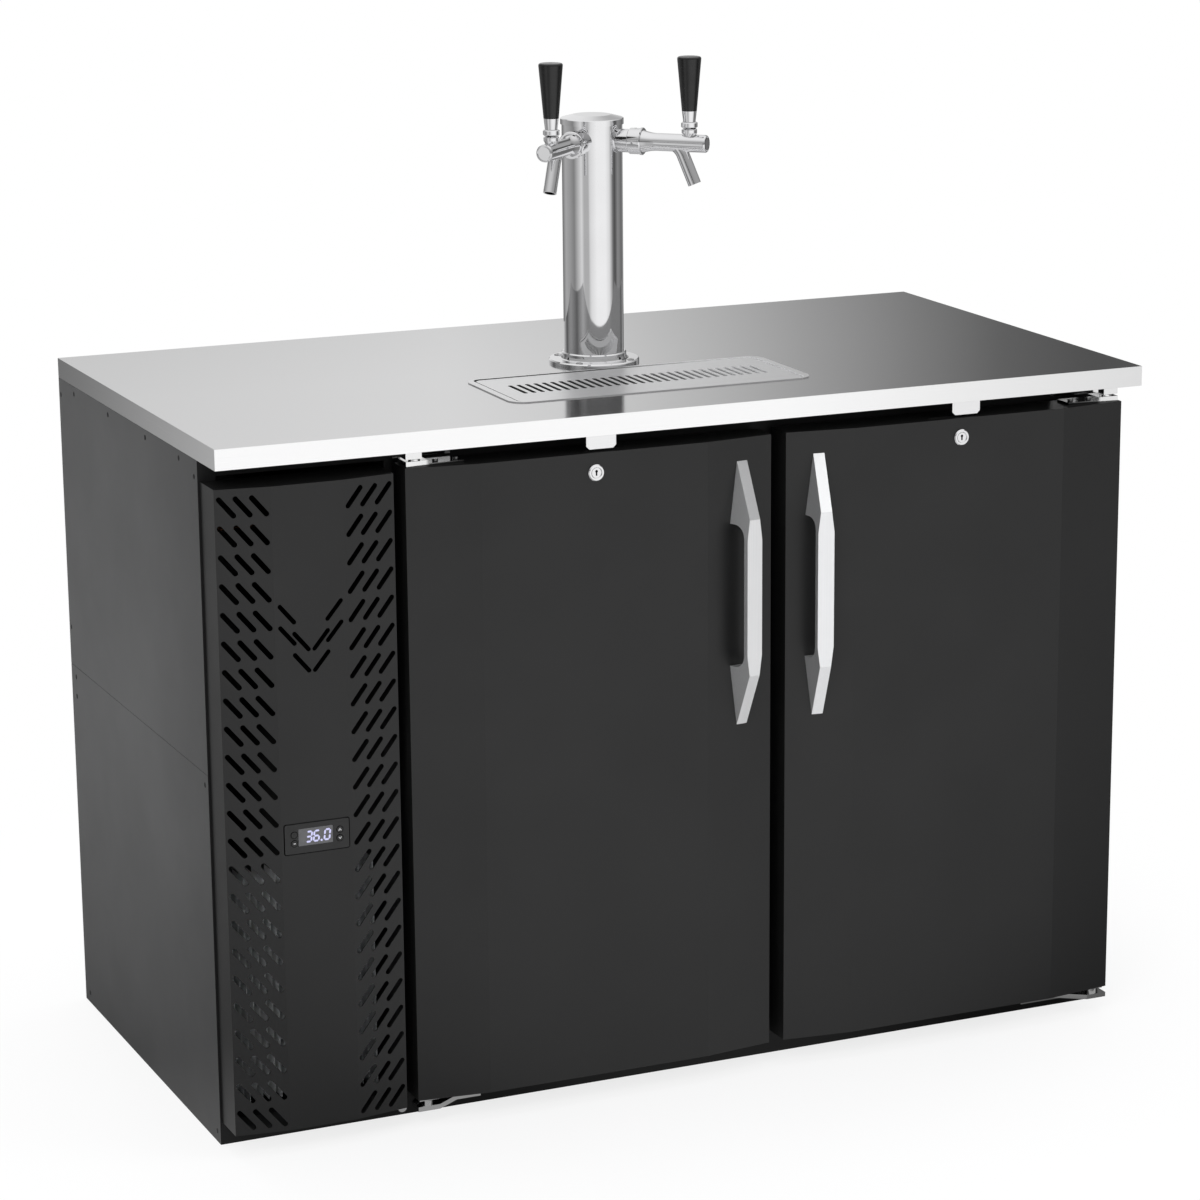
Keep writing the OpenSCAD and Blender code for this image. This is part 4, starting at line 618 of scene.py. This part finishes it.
# floor: white to the camera, keeps the shadow, and gives metal a bright front and darker sides
FLOOR_HALF, FLOOR_Z = 14.0, -0.0005
FLOOR_REACH = 4.0           # metres over which its reflection grows to full strength
ft = Material("floor_white")
ft.set("Base Color", (*grey(0.9), 1))
ft.set("Roughness", 0.8)
ft.set("Specular IOR Level", 0.1)
place = ft.coord.outputs["Object"]
far = ft.put("ShaderNodeVectorMath", operation="LENGTH")
ft.link(place, far.inputs[0])
shown = ft.put("ShaderNodeEmission", Color=(1, 1, 1, 1))
mirrored = ft.put("ShaderNodeEmission")
ft.link(ft.ramp(ft.azimuth(ft.split(place)), by_degrees((
    (-180, 0.17), (-147, 0.44), (-120, 0.36), (-98, 0.25), (-66, 0.78), (-56, 0.49),
    (-40, 0.49), (-28, 0.84), (-8, 1.0), (26, 1.0), (42, 0.82), (59, 0.17), (70, 0.08),
    (82, 0.28), (96, 0.24), (115, 0.15), (150, 0.42), (180, 0.17)))), mirrored.inputs["Color"])
# painted shadow: what metal shows of the floor is dimmer near the part, growing to full
# strength over FLOOR_REACH
ft.link(ft.ramp(ft.span(far.outputs["Value"], 0.0, 1.0, 0.0, FLOOR_REACH), [
    (0.1, grey(0.6)), (0.25, grey(0.8)), (0.5, grey(0.95)), (0.8, grey(1.0))]),
    mirrored.inputs["Strength"])
ray = ft.put("ShaderNodeLightPath")
near = ft.span(far.outputs["Value"], 0.8, 1.0, 0.5, 1.2)
seen = ft.either(ft.math("MULTIPLY", near, ray.outputs["Is Camera Ray"]),
                 ft.bsdf.outputs[0], shown.outputs[0])
ft.link(ft.either(ray.outputs["Is Glossy Ray"], seen, mirrored.outputs[0]),
        ft.out.inputs["Surface"])
sheet("floor", [(x * FLOOR_HALF, y * FLOOR_HALF, FLOOR_Z)
                for x, y in ((-1, -1), (1, -1), (1, 1), (-1, 1))], ft.mat)

# backdrop that only metal shows: light behind the left half, dark behind the right
BACK_Y, BACK_LEFT, BACK_RIGHT, BACK_LOW, BACK_HIGH = 2.6, -4.0, 6.0, 1.0, 3.4
SHADE_HALF = 4.0            # the shading runs from -4 to 4 m in x
bt = Material("backdrop")
across = bt.span(bt.split(bt.coord.outputs["Object"])["X"], 0.0, 1.0, -SHADE_HALF, SHADE_HALF)
lit = bt.put("ShaderNodeEmission")
bt.link(bt.ramp(across, [((x + SHADE_HALF) / (2 * SHADE_HALF), grey(v)) for x, v in (
    (-4.0, 0.40), (-2.8, 0.32), (-1.7, 0.12), (-0.5, 0.60), (-0.1, 0.78), (0.1, 0.80),
    (0.8, 0.88), (1.1, 0.78), (1.36, 0.60), (1.6, 0.42), (1.85, 0.26), (2.06, 0.15),
    (2.3, 0.10), (2.6, 0.12), (3.1, 0.34), (4.0, 0.40))]), lit.inputs["Color"])
only_mirrored(bt, lit)
sheet("backdrop", [(BACK_LEFT, BACK_Y, BACK_LOW), (BACK_RIGHT, BACK_Y, BACK_LOW),
                   (BACK_RIGHT, BACK_Y, BACK_HIGH), (BACK_LEFT, BACK_Y, BACK_HIGH)], bt.mat)

# low black flag round the front and sides, which darkens what the worktop shows of the tower
FLAG_RADIUS, FLAG_LOW, FLAG_HIGH = 2, 1.262, 1.35
FLAG_START, FLAG_END, FLAG_STEP = -130, 110, 20     # degrees round the part from the front
gt = Material("flag")
only_mirrored(gt, gt.put("ShaderNodeEmission", Color=(0, 0, 0, 1)))
for turn in range(FLAG_START, FLAG_END, FLAG_STEP):
    a, b = [(FLAG_RADIUS * math.sin(t), -FLAG_RADIUS * math.cos(t))
            for t in (math.radians(turn), math.radians(turn + FLAG_STEP))]
    sheet("flag_%d" % (turn - FLAG_START), [
        (*a, FLAG_LOW), (*b, FLAG_LOW), (*b, FLAG_HIGH), (*a, FLAG_HIGH)], gt.mat)

softbox("key", (-3.0, -3.6, 3.8), (0, 0, 0.5), 2.4, 130)
softbox("top", (0.2, 0.3, 3.8), (0, 0, 0.8), 2.8, 80)
softbox("fill", (3.4, -2.6, 2.2), (0.2, 0, 0.5), 2.2, 60)
softbox("back", (-0.8, 3.4, 2.4), (0, 0, 0.9), 2.0, 40)

# camera solved from the photo's straight edges
CAMERA_PLACE = (-1.8972, -4.3774, 1.7351)
CAMERA_DOWN, CAMERA_TURN = 14.827, -25.314          # degrees
cam = bpy.data.cameras.new("camera")
cam.sensor_width = 36
cam.lens = 114.36
cam.shift_x = -0.1003
cam.shift_y = 0.0502
cam.clip_start = 0.1
cam.clip_end = 100
cam_ob = new_object("camera", cam)
cam_ob.location = CAMERA_PLACE
cam_ob.rotation_euler = (math.radians(90 - CAMERA_DOWN), 0, math.radians(CAMERA_TURN))
scene.camera = cam_ob
scene.view_settings.view_transform = "Standard"


def corners(b):
    return [[float(x) for x in p] for p in b]
